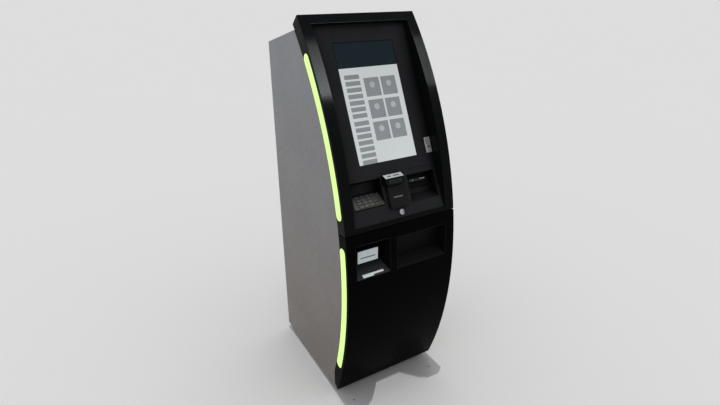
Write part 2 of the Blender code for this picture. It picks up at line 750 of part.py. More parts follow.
def pin_pad():
    """Key plate, lying on the pocket's slope, with a well for each key."""
    long = sqrt(PIN_PLATE_RISE ** 2 + PIN_PLATE_SINK ** 2)
    made = box("pin_pad", (PIN_LEFT + PAD_MARGIN, PAD_MARGIN + PAD_FOOT, GAP),
               (PIN_RIGHT - PAD_MARGIN, long - PAD_MARGIN - PAD_THICK, PAD_THICK))
    for _, _, x, y in key_centres():
        low = (x - KEY_W / 2 - KEY_CLEAR, y - KEY_L / 2 - KEY_CLEAR, PAD_THICK - KEY_WELL)
        high = (x + KEY_W / 2 + KEY_CLEAR, y + KEY_L / 2 + KEY_CLEAR, PAD_THICK + PAST)
        cut(made, box("well", low, high))
    return paint(on_plate(made), material("pad_steel", (0.42, 0.42, 0.40), 0.35, 0.7))


def pin_keys():
    finish = material("key_steel", (0.50, 0.50, 0.48), 0.3, 0.8)
    floor = PAD_THICK - KEY_WELL + KEY_TRAVEL + GAP
    for row, column, x, y in key_centres():
        low = (x - KEY_W / 2, y - KEY_L / 2, floor)
        made = box("key_" + str(row + 1) + str(column + 1), low,
                   (x + KEY_W / 2, y + KEY_L / 2, PAD_THICK + KEY_HIGH))
        yield paint(on_plate(made), finish)


def card_reader():
    """Card reader bezel: a wedge with a mouth in its sloping face and a body behind the panel."""
    made = panel_box("card_reader", (CARD_LEFT, CARD_LOW, GAP), (CARD_RIGHT, CARD_HIGH, CARD_PROUD),
                     CARD_CORNER)
    centre = (CARD_LEFT + CARD_RIGHT) / 2
    slot_s = (CARD_LOW + CARD_HIGH - CARD_SLOPE_RUN) / 2
    mouth = panel_box(
        "mouth", (centre - CARD_MOUTH / 2, slot_s - CARD_SLOT / 2, CARD_PROUD - CARD_MOUTH_DEEP),
        (centre + CARD_MOUTH / 2, slot_s + CARD_SLOT / 2, CARD_PROUD + PAST))
    cut(made, mouth)
    fall = (CARD_PROUD - CARD_SLOPE_LOW) / CARD_SLOPE_RUN
    slope_front = CARD_HIGH - CARD_SLOPE_RUN - PAST / fall
    slope = [panel_point(slope_front, CARD_PROUD + PAST),
             panel_point(CARD_HIGH + PAST, CARD_PROUD + PAST),
             panel_point(CARD_HIGH + PAST, CARD_SLOPE_LOW - PAST * fall)]
    cut(made, prism("slope", slope, CARD_LEFT - PAST, CARD_RIGHT + PAST))
    return paint(made, material("reader_silver", (0.50, 0.51, 0.52), 0.3, 0.7))


def tap_reader():
    """Contactless reader below the card slot."""
    made = panel_box("tap_reader", (TAP_LEFT, TAP_LOW, GAP), (TAP_RIGHT, TAP_HIGH, TAP_PROUD), TAP_CORNER)
    return paint(made, material("tap_black", (0.03, 0.031, 0.033), 0.4))


def coin_bezel():
    """Coin entry plate, with its round return dimple low down."""
    made = panel_box("coin_bezel", (COIN_LEFT, COIN_LOW, GAP), (COIN_RIGHT, COIN_HIGH, COIN_PROUD),
                     COIN_CORNER)
    centre = ((COIN_LEFT + COIN_RIGHT) / 2, COIN_LOW + 0.018)
    cut(made, on_panel(cylinder("dimple", centre, 0.004, 0.0015, 0.05, sides=16)))
    return paint(made, material("coin_steel", (0.55, 0.55, 0.56), 0.3, 1.0))


def fascia_lock():
    """Cam lock: face, barrel through the panel and a cam that turns behind it."""
    centre = (LOCK_X, LOCK_S)
    made = cylinder("fascia_lock", centre, LOCK_R, GAP, 0.004)
    join(made, cylinder("barrel", centre, LOCK_BARREL_R, -0.024, 0.002, sides=20))
    cam = box("cam", (LOCK_X - 0.006, LOCK_S - 0.006, -0.027), (LOCK_X + LOCK_CAM, LOCK_S + 0.006, -0.0235))
    join(made, cam)
    cut(made, box("keyway", (LOCK_X - 0.001, LOCK_S - 0.005, 0.002),
                  (LOCK_X + 0.001, LOCK_S + 0.005, PAST)))
    on_panel(made)
    set_origin(made, (LOCK_X, *panel_point(LOCK_S)))
    return paint(made, material("lock_chrome", (0.60, 0.60, 0.61), 0.2, 1.0))


def strip_outline(low_z, high_z):
    """Band along the side of the curved front, with round ends."""
    front_inset = STRIP_MARGIN
    back_inset = FRAME_DEPTH - STRIP_BACK
    half = (back_inset - front_inset) / 2
    middle = (back_inset + front_inset) / 2
    radius = FRONT_RADIUS - middle
    low = asin((low_z - FRONT_Z) / radius) + half / radius
    high = asin((high_z - FRONT_Z) / radius) - half / radius
    outline = arc_run(low, high, front_inset)
    outline += round_end(high, middle, half, 1)
    outline += arc_run(high, low, back_inset)
    outline += round_end(low, middle, half, -1)
    return outline


def round_end(angle, inset, radius, way, steps=8):
    """Half circle past one end of a strip, leaving out its two end points."""
    y, z = arc_point(angle, inset)
    points = []
    for i in range(1, steps):
        turn = pi * i / steps
        out = -cos(turn) * radius
        along = way * sin(turn) * radius
        if way < 0:
            out = -out
        points.append((y + out * cos(angle) + along * sin(angle), z - out * sin(angle) + along * cos(angle)))
    return points


def light_strip(name, side, span):
    """Light strip on the side skin, standing a little proud of it."""
    face = side * (WIDTH / 2 + GAP)
    outer = side * (WIDTH / 2 + STRIP_PROUD)
    made = prism(name, strip_outline(*span), min(face, outer), max(face, outer))
    return paint(made, material(name + "_lime", (0.62, 0.95, 0.32), 0.4))


# ---- lower door ------------------------------------------------------------
def recess_outline(low, high, back_y, rise, grow=0.0, front=0.0):
    """Recess in side view, to the front arc, or to a plane that far in front of it."""
    floor_y = arc_y(low)
    slope = rise / (back_y - floor_y)
    back = back_y + grow
    rear = [(back, low - grow + slope * (back - floor_y)), (back, high + grow)]
    if front:
        ahead = FRONT_Y - front
        return [(ahead, high + grow), (ahead, low - grow), (floor_y, low - grow)] + rear
    return arc_run(arc_angle(high + grow), arc_angle(low - grow)) + rear


def door_shell():
    seam = arc_angle(SEAM_Z) - SEAM_GAP / 2 / FRONT_RADIUS
    made = curved_shell("door_shell", arc_angle(BOTTOM_Z), seam, SKIN, DOOR_BACK_Y)
    wall = TRAY_WALL + GAP
    bill = recess_outline(BILL_LOW, BILL_HIGH, BILL_BACK_Y, BILL_FLOOR_RISE, wall, PAST)
    cash = recess_outline(CASH_LOW, CASH_HIGH, CASH_BACK_Y, CASH_FLOOR_RISE, wall, PAST)
    cut(made, prism("bill", bill, BILL_LEFT - wall, BILL_RIGHT + wall))
    cut(made, prism("cash", cash, CASH_LEFT - wall, CASH_RIGHT + wall))
    for side in (-1, 1):
        near, far = side * (TILT_ARM_X + ARM_THICK / 2 - 0.001), side * (WIDTH / 2 - SIDE_SKIN)
        low = (min(near, far), TILT_AXIS_Y - 0.012, BOTTOM_Z - PAST)
        cut(made, box("notch", low, (max(near, far), DOOR_BACK_Y + PAST, TILT_AXIS_Z)))
    return paint(made, material("door_gloss_black", (0.006, 0.006, 0.006), 0.15))


def tray(name, left, right, low, high, back_y, rise):
    """Open-fronted recess whose rim follows the door's curve."""
    outer = recess_outline(low, high, back_y, rise, TRAY_WALL)
    made = prism(name, outer, left - TRAY_WALL, right + TRAY_WALL)
    inner = recess_outline(low, high, back_y, rise, 0.0, PAST)
    cut(made, prism("inside", inner, left, right))
    return paint(made, material(name + "_black", (0.015, 0.015, 0.016), 0.35))


def bill_tray():
    made = tray("bill_recess", BILL_LEFT, BILL_RIGHT, BILL_LOW, BILL_HIGH, BILL_BACK_Y, BILL_FLOOR_RISE)
    hole_low = (BEZEL_LEFT - GAP, BILL_BACK_Y - PAST, BEZEL_LOW - GAP)
    cut(made, box("hole", hole_low, (BEZEL_RIGHT + GAP, BILL_BACK_Y + PAST, BEZEL_HIGH + GAP)))
    return made


def cash_tray():
    made = tray("cash_recess", CASH_LEFT, CASH_RIGHT, CASH_LOW, CASH_HIGH, CASH_BACK_Y, CASH_FLOOR_RISE)
    low = (OUTLET_LEFT, CASH_BACK_Y - PAST, OUTLET_LOW)
    cut(made, box("outlet", low, (OUTLET_RIGHT, CASH_BACK_Y + PAST, OUTLET_HIGH)))
    return made


def bill_acceptor():
    """Note acceptor: its silver mouth stands out of the recess, its body is behind it."""
    made = box("bill_acceptor", (BEZEL_LEFT, BEZEL_FRONT_Y, BEZEL_LOW),
               (BEZEL_RIGHT, ACCEPTOR_BACK_Y, BEZEL_HIGH))
    slot_low = (BEZEL_LEFT + 0.010, BEZEL_FRONT_Y - PAST, BEZEL_SLOT_Z)
    slot_high = (BEZEL_RIGHT - 0.010, BEZEL_FRONT_Y + BEZEL_SLOT_DEEP, BEZEL_SLOT_Z + BEZEL_SLOT_TALL)
    cut(made, box("slot", slot_low, slot_high))
    return paint(made, material("acceptor_silver", (0.45, 0.47, 0.48), 0.35, 0.6))


def ticket_lip():
    """Stepped white outlet on the recess floor."""
    slope = BILL_FLOOR_RISE / (BILL_BACK_Y - arc_y(BILL_LOW))
    floor = BILL_LOW + slope * (LIP_Y - arc_y(BILL_LOW)) + GAP
    rise = slope * LIP_DEEP
    outline = [
        (LIP_Y, floor),
        (LIP_Y + LIP_DEEP, floor + rise),
        (LIP_Y + LIP_DEEP, floor + rise + LIP_TALL),
        (LIP_Y, floor + LIP_TALL),
    ]
    made = prism("ticket_lip", outline, LIP_LEFT, LIP_RIGHT)
    step = box("step", ((LIP_LEFT + LIP_RIGHT) / 2, LIP_Y - PAST, BILL_LOW - 0.02),
               (LIP_RIGHT + PAST, LIP_Y + LIP_DEEP / 2, BILL_LOW + 0.05))
    cut(made, step)
    return paint(made, material("lip_white", (0.70, 0.73, 0.73), 0.4))


def cash_shutter():
    """Shutter behind the outlet; it slides up to let the notes out."""
    y = CASH_BACK_Y + TRAY_WALL + GAP
    made = box("cash_shutter", (OUTLET_LEFT - SHUTTER_LAP, y, OUTLET_LOW - SHUTTER_LAP),
               (OUTLET_RIGHT + SHUTTER_LAP, y + SHUTTER_THICK, OUTLET_HIGH + SHUTTER_LAP))
    return paint(made, material("shutter_black", (0.02, 0.02, 0.021), 0.3))


def shutter_guides():
    """Two channels on the back of the cash recess that hold the shutter's edges."""
    y = CASH_BACK_Y + TRAY_WALL + GAP
    left = OUTLET_LEFT - SHUTTER_LAP - GUIDE_CLEAR
    right = OUTLET_RIGHT + SHUTTER_LAP + GUIDE_CLEAR
    low = OUTLET_LOW - SHUTTER_LAP - GUIDE_CLEAR
    high = OUTLET_HIGH + SHUTTER_LAP + SHUTTER_TRAVEL + GUIDE_CLEAR
    deep = SHUTTER_THICK + 2 * GUIDE_CLEAR
    made = box("shutter_guide", (left - SHEET, y, low - SHEET), (right + SHEET, y + deep + SHEET, high))
    cut(made, box("channel", (left, y - PAST, low), (right, y + deep, high + PAST)))
    cut(made, box("window", (OUTLET_LEFT, y, OUTLET_LOW), (OUTLET_RIGHT, y + 0.05, high + PAST)))
    return paint(made, material("guide_zinc", (0.4, 0.4, 0.41), 0.45, 0.8))


# ---- hinges ----------------------------------------------------------------
def lift_axis():
    """Fascia axis, straight in from the top cover's front edge."""
    depth = FRAME_DEPTH + SWING_GAP
    angle = asin((COVER_FRONT_Z - FRONT_Z) / (FRONT_RADIUS - depth))
    return (
        arc_y(COVER_FRONT_Z, depth) + LIFT_AXIS_SINK * cos(angle),
        COVER_FRONT_Z - LIFT_AXIS_SINK * sin(angle),
    )


def arm(name, side, arm_x, axis, seat, boss_r, pin_r, pin_end):
    """Arm fixed inside a front piece's skin, with the hinge pin on its outer face."""
    x = side * arm_x
    y, z = axis
    made = prism(name, [(y, z)] + seat, x - ARM_THICK / 2, x + ARM_THICK / 2)
    join(made, cylinder("boss", axis, boss_r, x - ARM_THICK / 2 + GAP, x + ARM_THICK / 2 - GAP, "X"))
    join(made, cylinder("pin", axis, pin_r, min(x, side * pin_end), max(x, side * pin_end), "X", 20))
    return paint(made, material(name + "_steel", (0.5, 0.5, 0.5), 0.35, 1.0))


def lift_arm(name, side):
    """Fascia arm, low enough to clear the top cover as it swings."""
    y, z = lift_axis()
    seat = [
        (y - LIFT_BOSS_R * 0.2, z - LIFT_BOSS_R * 0.9),
        arc_point(arc_angle(LIFT_ARM_LOW_Z), SKIN + ARM_SEAT),
        arc_point(arc_angle(LIFT_ARM_TOP_Z), SKIN + ARM_SEAT),
        (y - LIFT_BOSS_R * 0.9, z),
    ]
    end = WIDTH / 2 - SHEET - 2 * GAP
    return arm(name, side, LIFT_ARM_X, (y, z), seat, LIFT_BOSS_R, LIFT_PIN_R, end)


def lift_bracket(name, side):
    """Block on the side panel with the hole that the fascia's pin turns in."""
    y, z = lift_axis()
    outer = side * (WIDTH / 2 - SHEET - GAP)
    inner = side * (LIFT_ARM_X + ARM_THICK / 2 + GAP)
    made = box(name, (min(outer, inner), y - LIFT_BOSS_R, z - 0.050),
               (max(outer, inner), y + 0.024, z + LIFT_BOSS_R))
    cut(made, cylinder("bore", (y, z), LIFT_PIN_R + PIN_CLEAR, -WIDTH / 2, WIDTH / 2, "X", 20))
    return paint(made, material(name + "_zinc", (0.4, 0.4, 0.41), 0.45, 0.8))


def tilt_arm(name, side):
    """Lower door's arm, between its axis and the front skin."""
    y, z = TILT_AXIS_Y, TILT_AXIS_Z
    low = z - TILT_BOSS_R * 0.6
    seat = [
        (y + TILT_BOSS_R * 0.8, z + TILT_BOSS_R * 0.4),
        (y, TILT_ARM_TOP_Z),
        (arc_y(TILT_ARM_TOP_Z, SKIN + ARM_SEAT), TILT_ARM_TOP_Z),
        (arc_y(low, SKIN + ARM_SEAT), low),
    ]
    return arm(name, side, TILT_ARM_X, (y, z), seat, TILT_BOSS_R, TILT_PIN_R, TONGUE_X)


def tilt_bracket(name, side):
    """Tongue that reaches forward from the side panel to the lower door's pin."""
    y, z = TILT_AXIS_Y, TILT_AXIS_Z
    inner = side * (TILT_ARM_X + ARM_THICK / 2 + GAP)
    tongue = side * TONGUE_X
    made = box(name, (min(inner, tongue), y - TILT_BOSS_R, z - TILT_BOSS_R),
               (max(inner, tongue), PAN_FRONT_Y, z + TILT_BOSS_R))
    outer = side * (WIDTH / 2 - SHEET - GAP)
    foot_y = DOOR_BACK_Y + SWING_GAP + 0.003
    join(made, box("foot", (min(inner, outer), foot_y, z - TILT_BOSS_R + GAP),
                   (max(inner, outer), PAN_FRONT_Y - GAP, z + 0.030)))
    cut(made, cylinder("bore", (y, z), TILT_PIN_R + PIN_CLEAR, -WIDTH / 2, WIDTH / 2, "X", 20))
    return paint(made, material(name + "_zinc", (0.4, 0.4, 0.41), 0.45, 0.8))


# ---- assembly --------------------------------------------------------------
def build_cabinet():
    base_plate()
    floor_tray()
    side_panel("side_panel_left", -1)
    side_panel("side_panel_right", 1)
    top_cover()
    rear_panel()
    mid_shelf()
    safe_body()
    safe_door()
    for index in range(CASSETTES):
        cassette(index)
    dispenser()
    shelf = SHELF_Z + SHEET + GAP
    service_box("control_computer", (-0.170, 0.030, shelf), (0.030, 0.330, shelf + 0.120),
                (0.05, 0.05, 0.055))
    power_inlet()
    lift_bracket("fascia_bracket_left", -1)
    lift_bracket("fascia_bracket_right", 1)
    tilt_bracket("door_bracket_left", -1)
    tilt_bracket("door_bracket_right", 1)
    turned = empty("handle_axis", (HANDLE_X, SAFE_FRONT_Y, HANDLE_Z))
    carry([safe_handle()], turned)


def build_fascia():
    axis = empty("fascia_axis", (0.0, *lift_axis()))
    fixed = [
        fascia_frame(),
        console_panel(),
        display_glass(),
        display_module(),
        pin_pad(),
        card_reader(),
        tap_reader(),
        scanner(),
        coin_bezel(),
        light_strip("light_strip_upper_left", -1, UPPER_STRIP),
        light_strip("light_strip_upper_right", 1, UPPER_STRIP),
        lift_arm("fascia_arm_left", -1),
        lift_arm("fascia_arm_right", 1),
        fascia_lock(),
    ]
    carry(fixed, axis)
    carry(list(pin_keys()), plate_frame(axis))


def build_door():
    axis = empty("door_axis", (0.0, TILT_AXIS_Y, TILT_AXIS_Z))
    carry([
        door_shell(),
        bill_tray(),
        cash_tray(),
        bill_acceptor(),
        ticket_lip(),
        cash_shutter(),
        shutter_guides(),
        light_strip("light_strip_lower_left", -1, LOWER_STRIP),
        light_strip("light_strip_lower_right", 1, LOWER_STRIP),
        tilt_arm("door_arm_left", -1),
        tilt_arm("door_arm_right", 1),
    ], axis)


clear_scene()
build_cabinet()
build_fascia()
build_door()
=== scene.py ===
"""Looks of a free-standing bank kiosk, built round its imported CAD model.

Metres, +Z up, +X to the user's right, the user stands at -Y.
"""
import math

import bmesh
import bpy
from mathutils import Matrix, Vector


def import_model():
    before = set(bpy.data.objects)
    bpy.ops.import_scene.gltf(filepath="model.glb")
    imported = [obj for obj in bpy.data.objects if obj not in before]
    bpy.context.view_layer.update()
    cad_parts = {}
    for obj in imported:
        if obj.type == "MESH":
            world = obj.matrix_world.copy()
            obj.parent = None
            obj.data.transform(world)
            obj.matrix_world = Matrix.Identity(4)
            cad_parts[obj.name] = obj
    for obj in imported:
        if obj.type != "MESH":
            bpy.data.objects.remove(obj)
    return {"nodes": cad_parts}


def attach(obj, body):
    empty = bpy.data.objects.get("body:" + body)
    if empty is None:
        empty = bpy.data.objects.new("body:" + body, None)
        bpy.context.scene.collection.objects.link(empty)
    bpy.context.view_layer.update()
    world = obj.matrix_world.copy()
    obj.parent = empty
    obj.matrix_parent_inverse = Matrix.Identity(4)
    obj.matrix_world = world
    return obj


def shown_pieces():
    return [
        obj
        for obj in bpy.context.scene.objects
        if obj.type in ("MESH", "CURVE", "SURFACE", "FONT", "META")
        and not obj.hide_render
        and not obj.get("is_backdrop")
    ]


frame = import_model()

NODES = frame["nodes"]
SCENE = bpy.context.scene
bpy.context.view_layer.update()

# ---- camera and stage ------------------------------------------------------
CAMERA_PLACE = (-1.1380, -1.9353, 1.9408)
CAMERA_TILT = math.radians(65.66)
CAMERA_PAN = math.radians(-30.21)
CAMERA_LENS = 24.445
STAGE_HALF = 150.0
PALE = (0.723, 0.723, 0.723)         # backdrop, and the floor under plain light
SKY_LIGHT = (1.005, 1.005, 1.010)
GROUND_LIGHT = (0.64, 0.56, 0.50)
BAND_RADIANCE = 62.0
SOFT_WATTS = 34.0                    # upper left, on the object only
TOP_WATTS = 14.0                     # overhead, on the object only
BAND_PLACE = (1.25, -1.18, 3.00)     # light panel that the glossy cheeks mirror
BAND_SIZE = (2.10, 1.10)

# ---- console panel's own plane: x across, s up it, d out of it ---------------
PANEL_TILT = math.radians(25.65)
PANEL_ORIGIN = Vector((0.0, -0.349, 0.9885))

SHARP_ANGLE = math.radians(32)
WELD = 1e-5
LAYER = 0.00008                      # thickness of printed and lit layers


def panel_matrix(x=0.0, s=0.0, d=0.0):
    turn = Matrix.Rotation(math.pi / 2 - PANEL_TILT, 4, "X")
    return Matrix.Translation(PANEL_ORIGIN) @ turn @ Matrix.Translation((x, s, d))


def span_in(matrix, node):
    """Lowest and highest corner of a CAD node in a tilted frame."""
    inverse = matrix.inverted()
    points = [inverse @ v.co for v in NODES[node].data.vertices]
    low = Vector([min(p[i] for p in points) for i in range(3)])
    high = Vector([max(p[i] for p in points) for i in range(3)])
    return low, high


def panel_span(node):
    return span_in(panel_matrix(), node)


# ---- materials -------------------------------------------------------------
class Finish:
    """A procedural material while its nodes are laid out."""

    def __init__(self, name):
        self.material = bpy.data.materials.new(name)
        self.material.use_nodes = True
        self.tree = self.material.node_tree
        self.tree.nodes.clear()
        self.shader = self.tree.nodes.new("ShaderNodeBsdfPrincipled")
        output = self.tree.nodes.new("ShaderNodeOutputMaterial")
        self.link(self.shader.outputs["BSDF"], output.inputs["Surface"])
        coordinates = self.tree.nodes.new("ShaderNodeTexCoord")
        self.place = coordinates.outputs["Object"]

    def link(self, source, target):
        self.tree.links.new(source, target)

    def node(self, kind, inputs=None, **settings):
        made = self.tree.nodes.new(kind)
        for key, value in settings.items():
            setattr(made, key, value)
        for key, value in (inputs or {}).items():
            if isinstance(value, bpy.types.NodeSocket):
                self.link(value, made.inputs[key])
            else:
                made.inputs[key].default_value = value
        return made

    def shade(self, **values):
        """Sets or links sockets of the shader; an underscore stands for a space."""
        for key, value in values.items():
            socket = self.shader.inputs[key.replace("_", " ")]
            if isinstance(value, bpy.types.NodeSocket):
                self.link(value, socket)
            elif isinstance(value, (tuple, list)) and len(value) == 3:
                socket.default_value = (*value, 1.0)
            else:
                socket.default_value = value
        return self

    def stretched(self, stretch):
        return self.node("ShaderNodeMapping", {"Vector": self.place, "Scale": stretch}).outputs[0]

    def noise(self, scale, detail=3.0, stretch=(1, 1, 1), roughness=0.5):
        inputs = {"Vector": self.stretched(stretch), "Scale": scale, "Detail": detail,
                  "Roughness": roughness}
        return self.node("ShaderNodeTexNoise", inputs).outputs["Fac"]

    def cells(self, scale, feature="F1", stretch=(1, 1, 1)):
        inputs = {"Vector": self.stretched(stretch), "Scale": scale}
        return self.node("ShaderNodeTexVoronoi", inputs, feature=feature).outputs["Distance"]

    def spread(self, value, from_low, from_high, low, high):
        inputs = {"Value": value, "From Min": from_low, "From Max": from_high, "To Min": low, "To Max": high}
        return self.node("ShaderNodeMapRange", inputs).outputs["Result"]

    def math(self, operation, first, second=0.0, clamp=False):
        made = self.node("ShaderNodeMath", {0: first, 1: second}, operation=operation)
        made.use_clamp = clamp
        return made.outputs[0]

    def blend(self, factor, first, second, how="MIX"):
        """Mixes two colours, given as three numbers or as sockets."""
        made = self.node("ShaderNodeMix", data_type="RGBA", blend_type=how)
        pairs = ((made.inputs[0], factor), (made.inputs[6], first), (made.inputs[7], second))
        for socket, value in pairs:
            if isinstance(value, bpy.types.NodeSocket):
                self.link(value, socket)
            elif isinstance(value, (tuple, list)):
                socket.default_value = (*value, 1.0)
            else:
                socket.default_value = value
        return made.outputs[2]

    def height(self):
        """How high a point lies, in metres."""
        return self.node("ShaderNodeSeparateXYZ", {0: self.place}).outputs["Z"]

    def edges(self, radius, low=0.02, high=0.35):
        """1 near sharp outer edges and 0 on flat stretches."""
        soft = self.node("ShaderNodeBevel", {"Radius": radius}, samples=6).outputs["Normal"]
        hard = self.node("ShaderNodeNewGeometry").outputs["Normal"]
        turned = self.node("ShaderNodeVectorMath", {0: soft, 1: hard}, operation="DOT_PRODUCT")
        return self.spread(self.math("SUBTRACT", 1.0, turned.outputs["Value"]), low, high, 0.0, 1.0)

    def painted_corner_shade(self, reach, low, high):
        """Painted shade: 1 in the open, falling to low in corners and pockets, where little light reaches.
        """
        open_sky = self.node("ShaderNodeAmbientOcclusion", {"Distance": reach}, samples=8).outputs["AO"]
        return self.spread(open_sky, 0.45, 0.92, low, high)

    def facing_up(self, low, high):
        """Blends from low to high where a surface faces upwards, to paint light onto ledges."""
        normal = self.node("ShaderNodeNewGeometry").outputs["Normal"]
        rise = self.node("ShaderNodeSeparateXYZ", {0: normal}).outputs["Z"]
        return self.spread(rise, 0.55, 0.85, low, high)

    def bump(self, height, distance, strength=1.0, under=None):
        inputs = {"Height": height, "Distance": distance, "Strength": strength}
        if under is not None:
            inputs["Normal"] = under
        return self.node("ShaderNodeBump", inputs).outputs["Normal"]


# painted light: these two tints colour the paint warm low down and cool high up, for light from the floor
# and the sky
FLOOR_LIGHT_PAINTED_LOW = (0.80, 0.73, 0.67)        # light thrown up by the floor, low on the panels
SKY_LIGHT_PAINTED_HIGH = (0.94, 1.00, 1.09)


def painted_metal(name, colour, metallic, roughness, wear=0.35, peel=0.00004, painted_light_by_height=False):
    """Sprayed sheet metal: mottled, with orange peel, rubbed edges, a little dust low down and, when asked,
    painted light that is warm low down and cool high up.
    """
    made = Finish(name)
    cloud = made.noise(3.0, 5.0)
    tone = made.spread(cloud, 0.3, 0.7, 0.93, 1.06)
    base = made.blend(1.0, colour, tone, "MULTIPLY")
    if painted_light_by_height:
        # painted light: the colour runs from a warm floor-lit tint low down to a cool sky-lit tint high up
        painted_light_tint = made.blend(made.spread(made.height(), 0.30, 1.60, 0.0, 1.0), FLOOR_LIGHT_PAINTED_LOW, SKY_LIGHT_PAINTED_HIGH)
        base = made.blend(1.0, base, painted_light_tint, "MULTIPLY")
    fleck = made.spread(made.noise(2600.0, 1.0), 0.62, 0.75, 0.0, 0.10)
    base = made.blend(fleck, base, [min(1.0, c * 2.2) for c in colour])
    dust = made.math("MULTIPLY", made.spread(made.height(), 0.0, 0.30, 0.16, 0.0), made.noise(45.0, 4.0))
    base = made.blend(dust, base, (0.30, 0.28, 0.25))
    rub = made.math("MULTIPLY", made.edges(0.0015), made.spread(made.noise(90.0, 4.0), 0.4, 0.65, 0.0, wear))
    base = made.blend(rub, base, (0.46, 0.46, 0.45))
    rough = made.spread(made.noise(60.0, 4.0), 0.3, 0.7, roughness - 0.05, roughness + 0.06)
    grain = made.bump(made.noise(700.0, 2.0), peel, 0.6)
    made.shade(Base_Color=base, Metallic=metallic, Roughness=rough, Normal=grain)
    return made.material


def brushed_metal(name, colour, roughness=0.3, along="X", metallic=1.0, grain=0.00002, smudge=0.10):
    """Bare metal brushed along one axis, with finger smudges and bright worn edges."""
    made = Finish(name)
    stretch = {"X": (6, 500, 500), "Y": (500, 6, 500), "Z": (500, 500, 6)}[along]
    lines = made.noise(1.6, 3.0, stretch, 0.65)
    tone = made.spread(lines, 0.25, 0.75, 0.86, 1.12)
    base = made.blend(1.0, colour, tone, "MULTIPLY")
    base = made.blend(made.spread(made.edges(0.0008), 0.0, 1.0, 0.0, 0.5), base,
                      [min(1.0, c * 1.35) for c in colour])
    marks = made.spread(made.noise(38.0, 5.0), 0.42, 0.68, 0.0, smudge)
    fine = made.spread(lines, 0.25, 0.75, roughness - 0.05, roughness + 0.05)
    rough = made.math("ADD", fine, marks)
    made.shade(Base_Color=base, Metallic=metallic, Roughness=rough, Normal=made.bump(lines, grain, 0.7))
    return made.material


def moulded_plastic(name, colour, roughness, grain=0.00005, size=1300.0, specular=0.4, dusty=0.05,
                    painted_corner_shade=None, painted_ledge_light=None):
    """Moulded plastic with a fine spark-eroded grain, polished a little where hands rub it."""
    made = Finish(name)
    tone = made.spread(made.noise(9.0, 4.0), 0.3, 0.7, 0.90, 1.10)
    if painted_corner_shade:
        # painted shade: the colour darkens in corners and pockets, where little light reaches
        tone = made.math("MULTIPLY", tone, made.painted_corner_shade(*painted_corner_shade))
    if painted_ledge_light:
        # painted light: up-facing ledges take a paler colour, as if lit from above
        colour = made.blend(made.facing_up(0.0, 1.0), colour, painted_ledge_light)
    base = made.blend(1.0, colour, tone, "MULTIPLY")
    specks = made.spread(made.noise(420.0, 2.0), 0.64, 0.74, 0.0, dusty)
    base = made.blend(specks, base, (0.35, 0.35, 0.34))
    base = made.blend(made.spread(made.edges(0.0008), 0.0, 1.0, 0.0, 0.10), base, (0.30, 0.30, 0.31))
    rough = made.spread(made.noise(26.0, 4.0), 0.35, 0.65, roughness - 0.05, roughness + 0.06)
    pits = made.bump(made.cells(size), grain, 0.5)
    made.shade(Base_Color=base, Roughness=rough, Normal=pits, Specular_IOR_Level=specular)
    return made.material


def gloss_black(name, colour, roughness, specular, dusty=0.03):
    """Piano-black lacquer: faint waves, hairline scratches, dust specks and finger bloom."""
    made = Finish(name)
    specks = made.spread(made.noise(900.0, 1.0), 0.70, 0.78, 0.0, dusty)
    base = made.blend(specks, colour, (0.40, 0.40, 0.39))
    scratch = made.noise(1.4, 2.0, (90, 4, 900), 0.7)
    bloom = made.spread(made.noise(7.0, 5.0), 0.45, 0.70, 0.0, 0.07)
    rough = made.math("ADD", made.spread(scratch, 0.4, 0.75, roughness, roughness + 0.05), bloom)
    wave = made.bump(made.noise(5.0, 1.0), 0.0010, 0.25)
    hair = made.bump(scratch, 0.000004, 0.5, wave)
    made.shade(Base_Color=base, Roughness=rough, Normal=hair, Specular_IOR_Level=specular)
    return made.material


def lit_layer(name, colour, strength, fade=None):
    """A lit area of the display under its glass, with a faint pixel grid and an uneven backlight."""
    made = Finish(name)
    uneven = made.spread(made.noise(4.0, 2.0), 0.3, 0.7, 0.97, 1.03)
    grid = made.spread(made.cells(1800.0), 0.0, 0.7, 0.985, 1.01)
    level = made.math("MULTIPLY", uneven, grid)
    if fade:
        low_z, high_z, low_level, high_level = fade
        ramp = made.spread(made.height(), low_z, high_z, low_level, high_level)
        level = made.math("MULTIPLY", level, ramp)
    lit = made.blend(1.0, colour, level, "MULTIPLY")
    made.shade(Base_Color=(0.004, 0.004, 0.004), Emission_Color=lit, Emission_Strength=strength,
               Roughness=made.spread(made.noise(30.0, 3.0), 0.3, 0.7, 0.08, 0.14), Specular_IOR_Level=0.06)
    return made.material


def strip_glow(name, colour, strength):
    """Translucent lime diffuser lit from behind by a row of diodes."""
    made = Finish(name)
    pulse = made.node("ShaderNodeTexWave", {"Vector": made.place, "Scale": 9.0, "Distortion": 0.4},
                      bands_direction="Z").outputs["Fac"]
    level = made.math("MULTIPLY", made.spread(pulse, 0.0, 1.0, 0.965, 1.0),
                      made.spread(made.noise(220.0, 2.0), 0.3, 0.7, 0.985, 1.01))
    lit = made.blend(1.0, colour, level, "MULTIPLY")
    made.shade(Base_Color=(0.10, 0.16, 0.05), Emission_Color=lit, Emission_Strength=strength,
               Roughness=made.spread(made.noise(80.0, 3.0), 0.3, 0.7, 0.30, 0.42),
               Normal=made.bump(made.noise(900.0, 2.0), 0.00003, 0.4), Specular_IOR_Level=0.3)
    return made.material


def glass_black(name, colour, roughness=0.05, specular=0.35):
    """Dark glass, with faint smears that only show in its gloss."""
    made = Finish(name)
    smear = made.spread(made.noise(14.0, 6.0, (1, 1, 0.4)), 0.45, 0.7, roughness, roughness + 0.10)
    tone = made.spread(made.noise(3.0, 2.0), 0.3, 0.7, 0.92, 1.06)
    made.shade(Base_Color=made.blend(1.0, colour, tone, "MULTIPLY"), Roughness=smear,
               Specular_IOR_Level=specular, Normal=made.bump(made.noise(6.0, 1.0), 0.0006, 0.1))
    return made.material


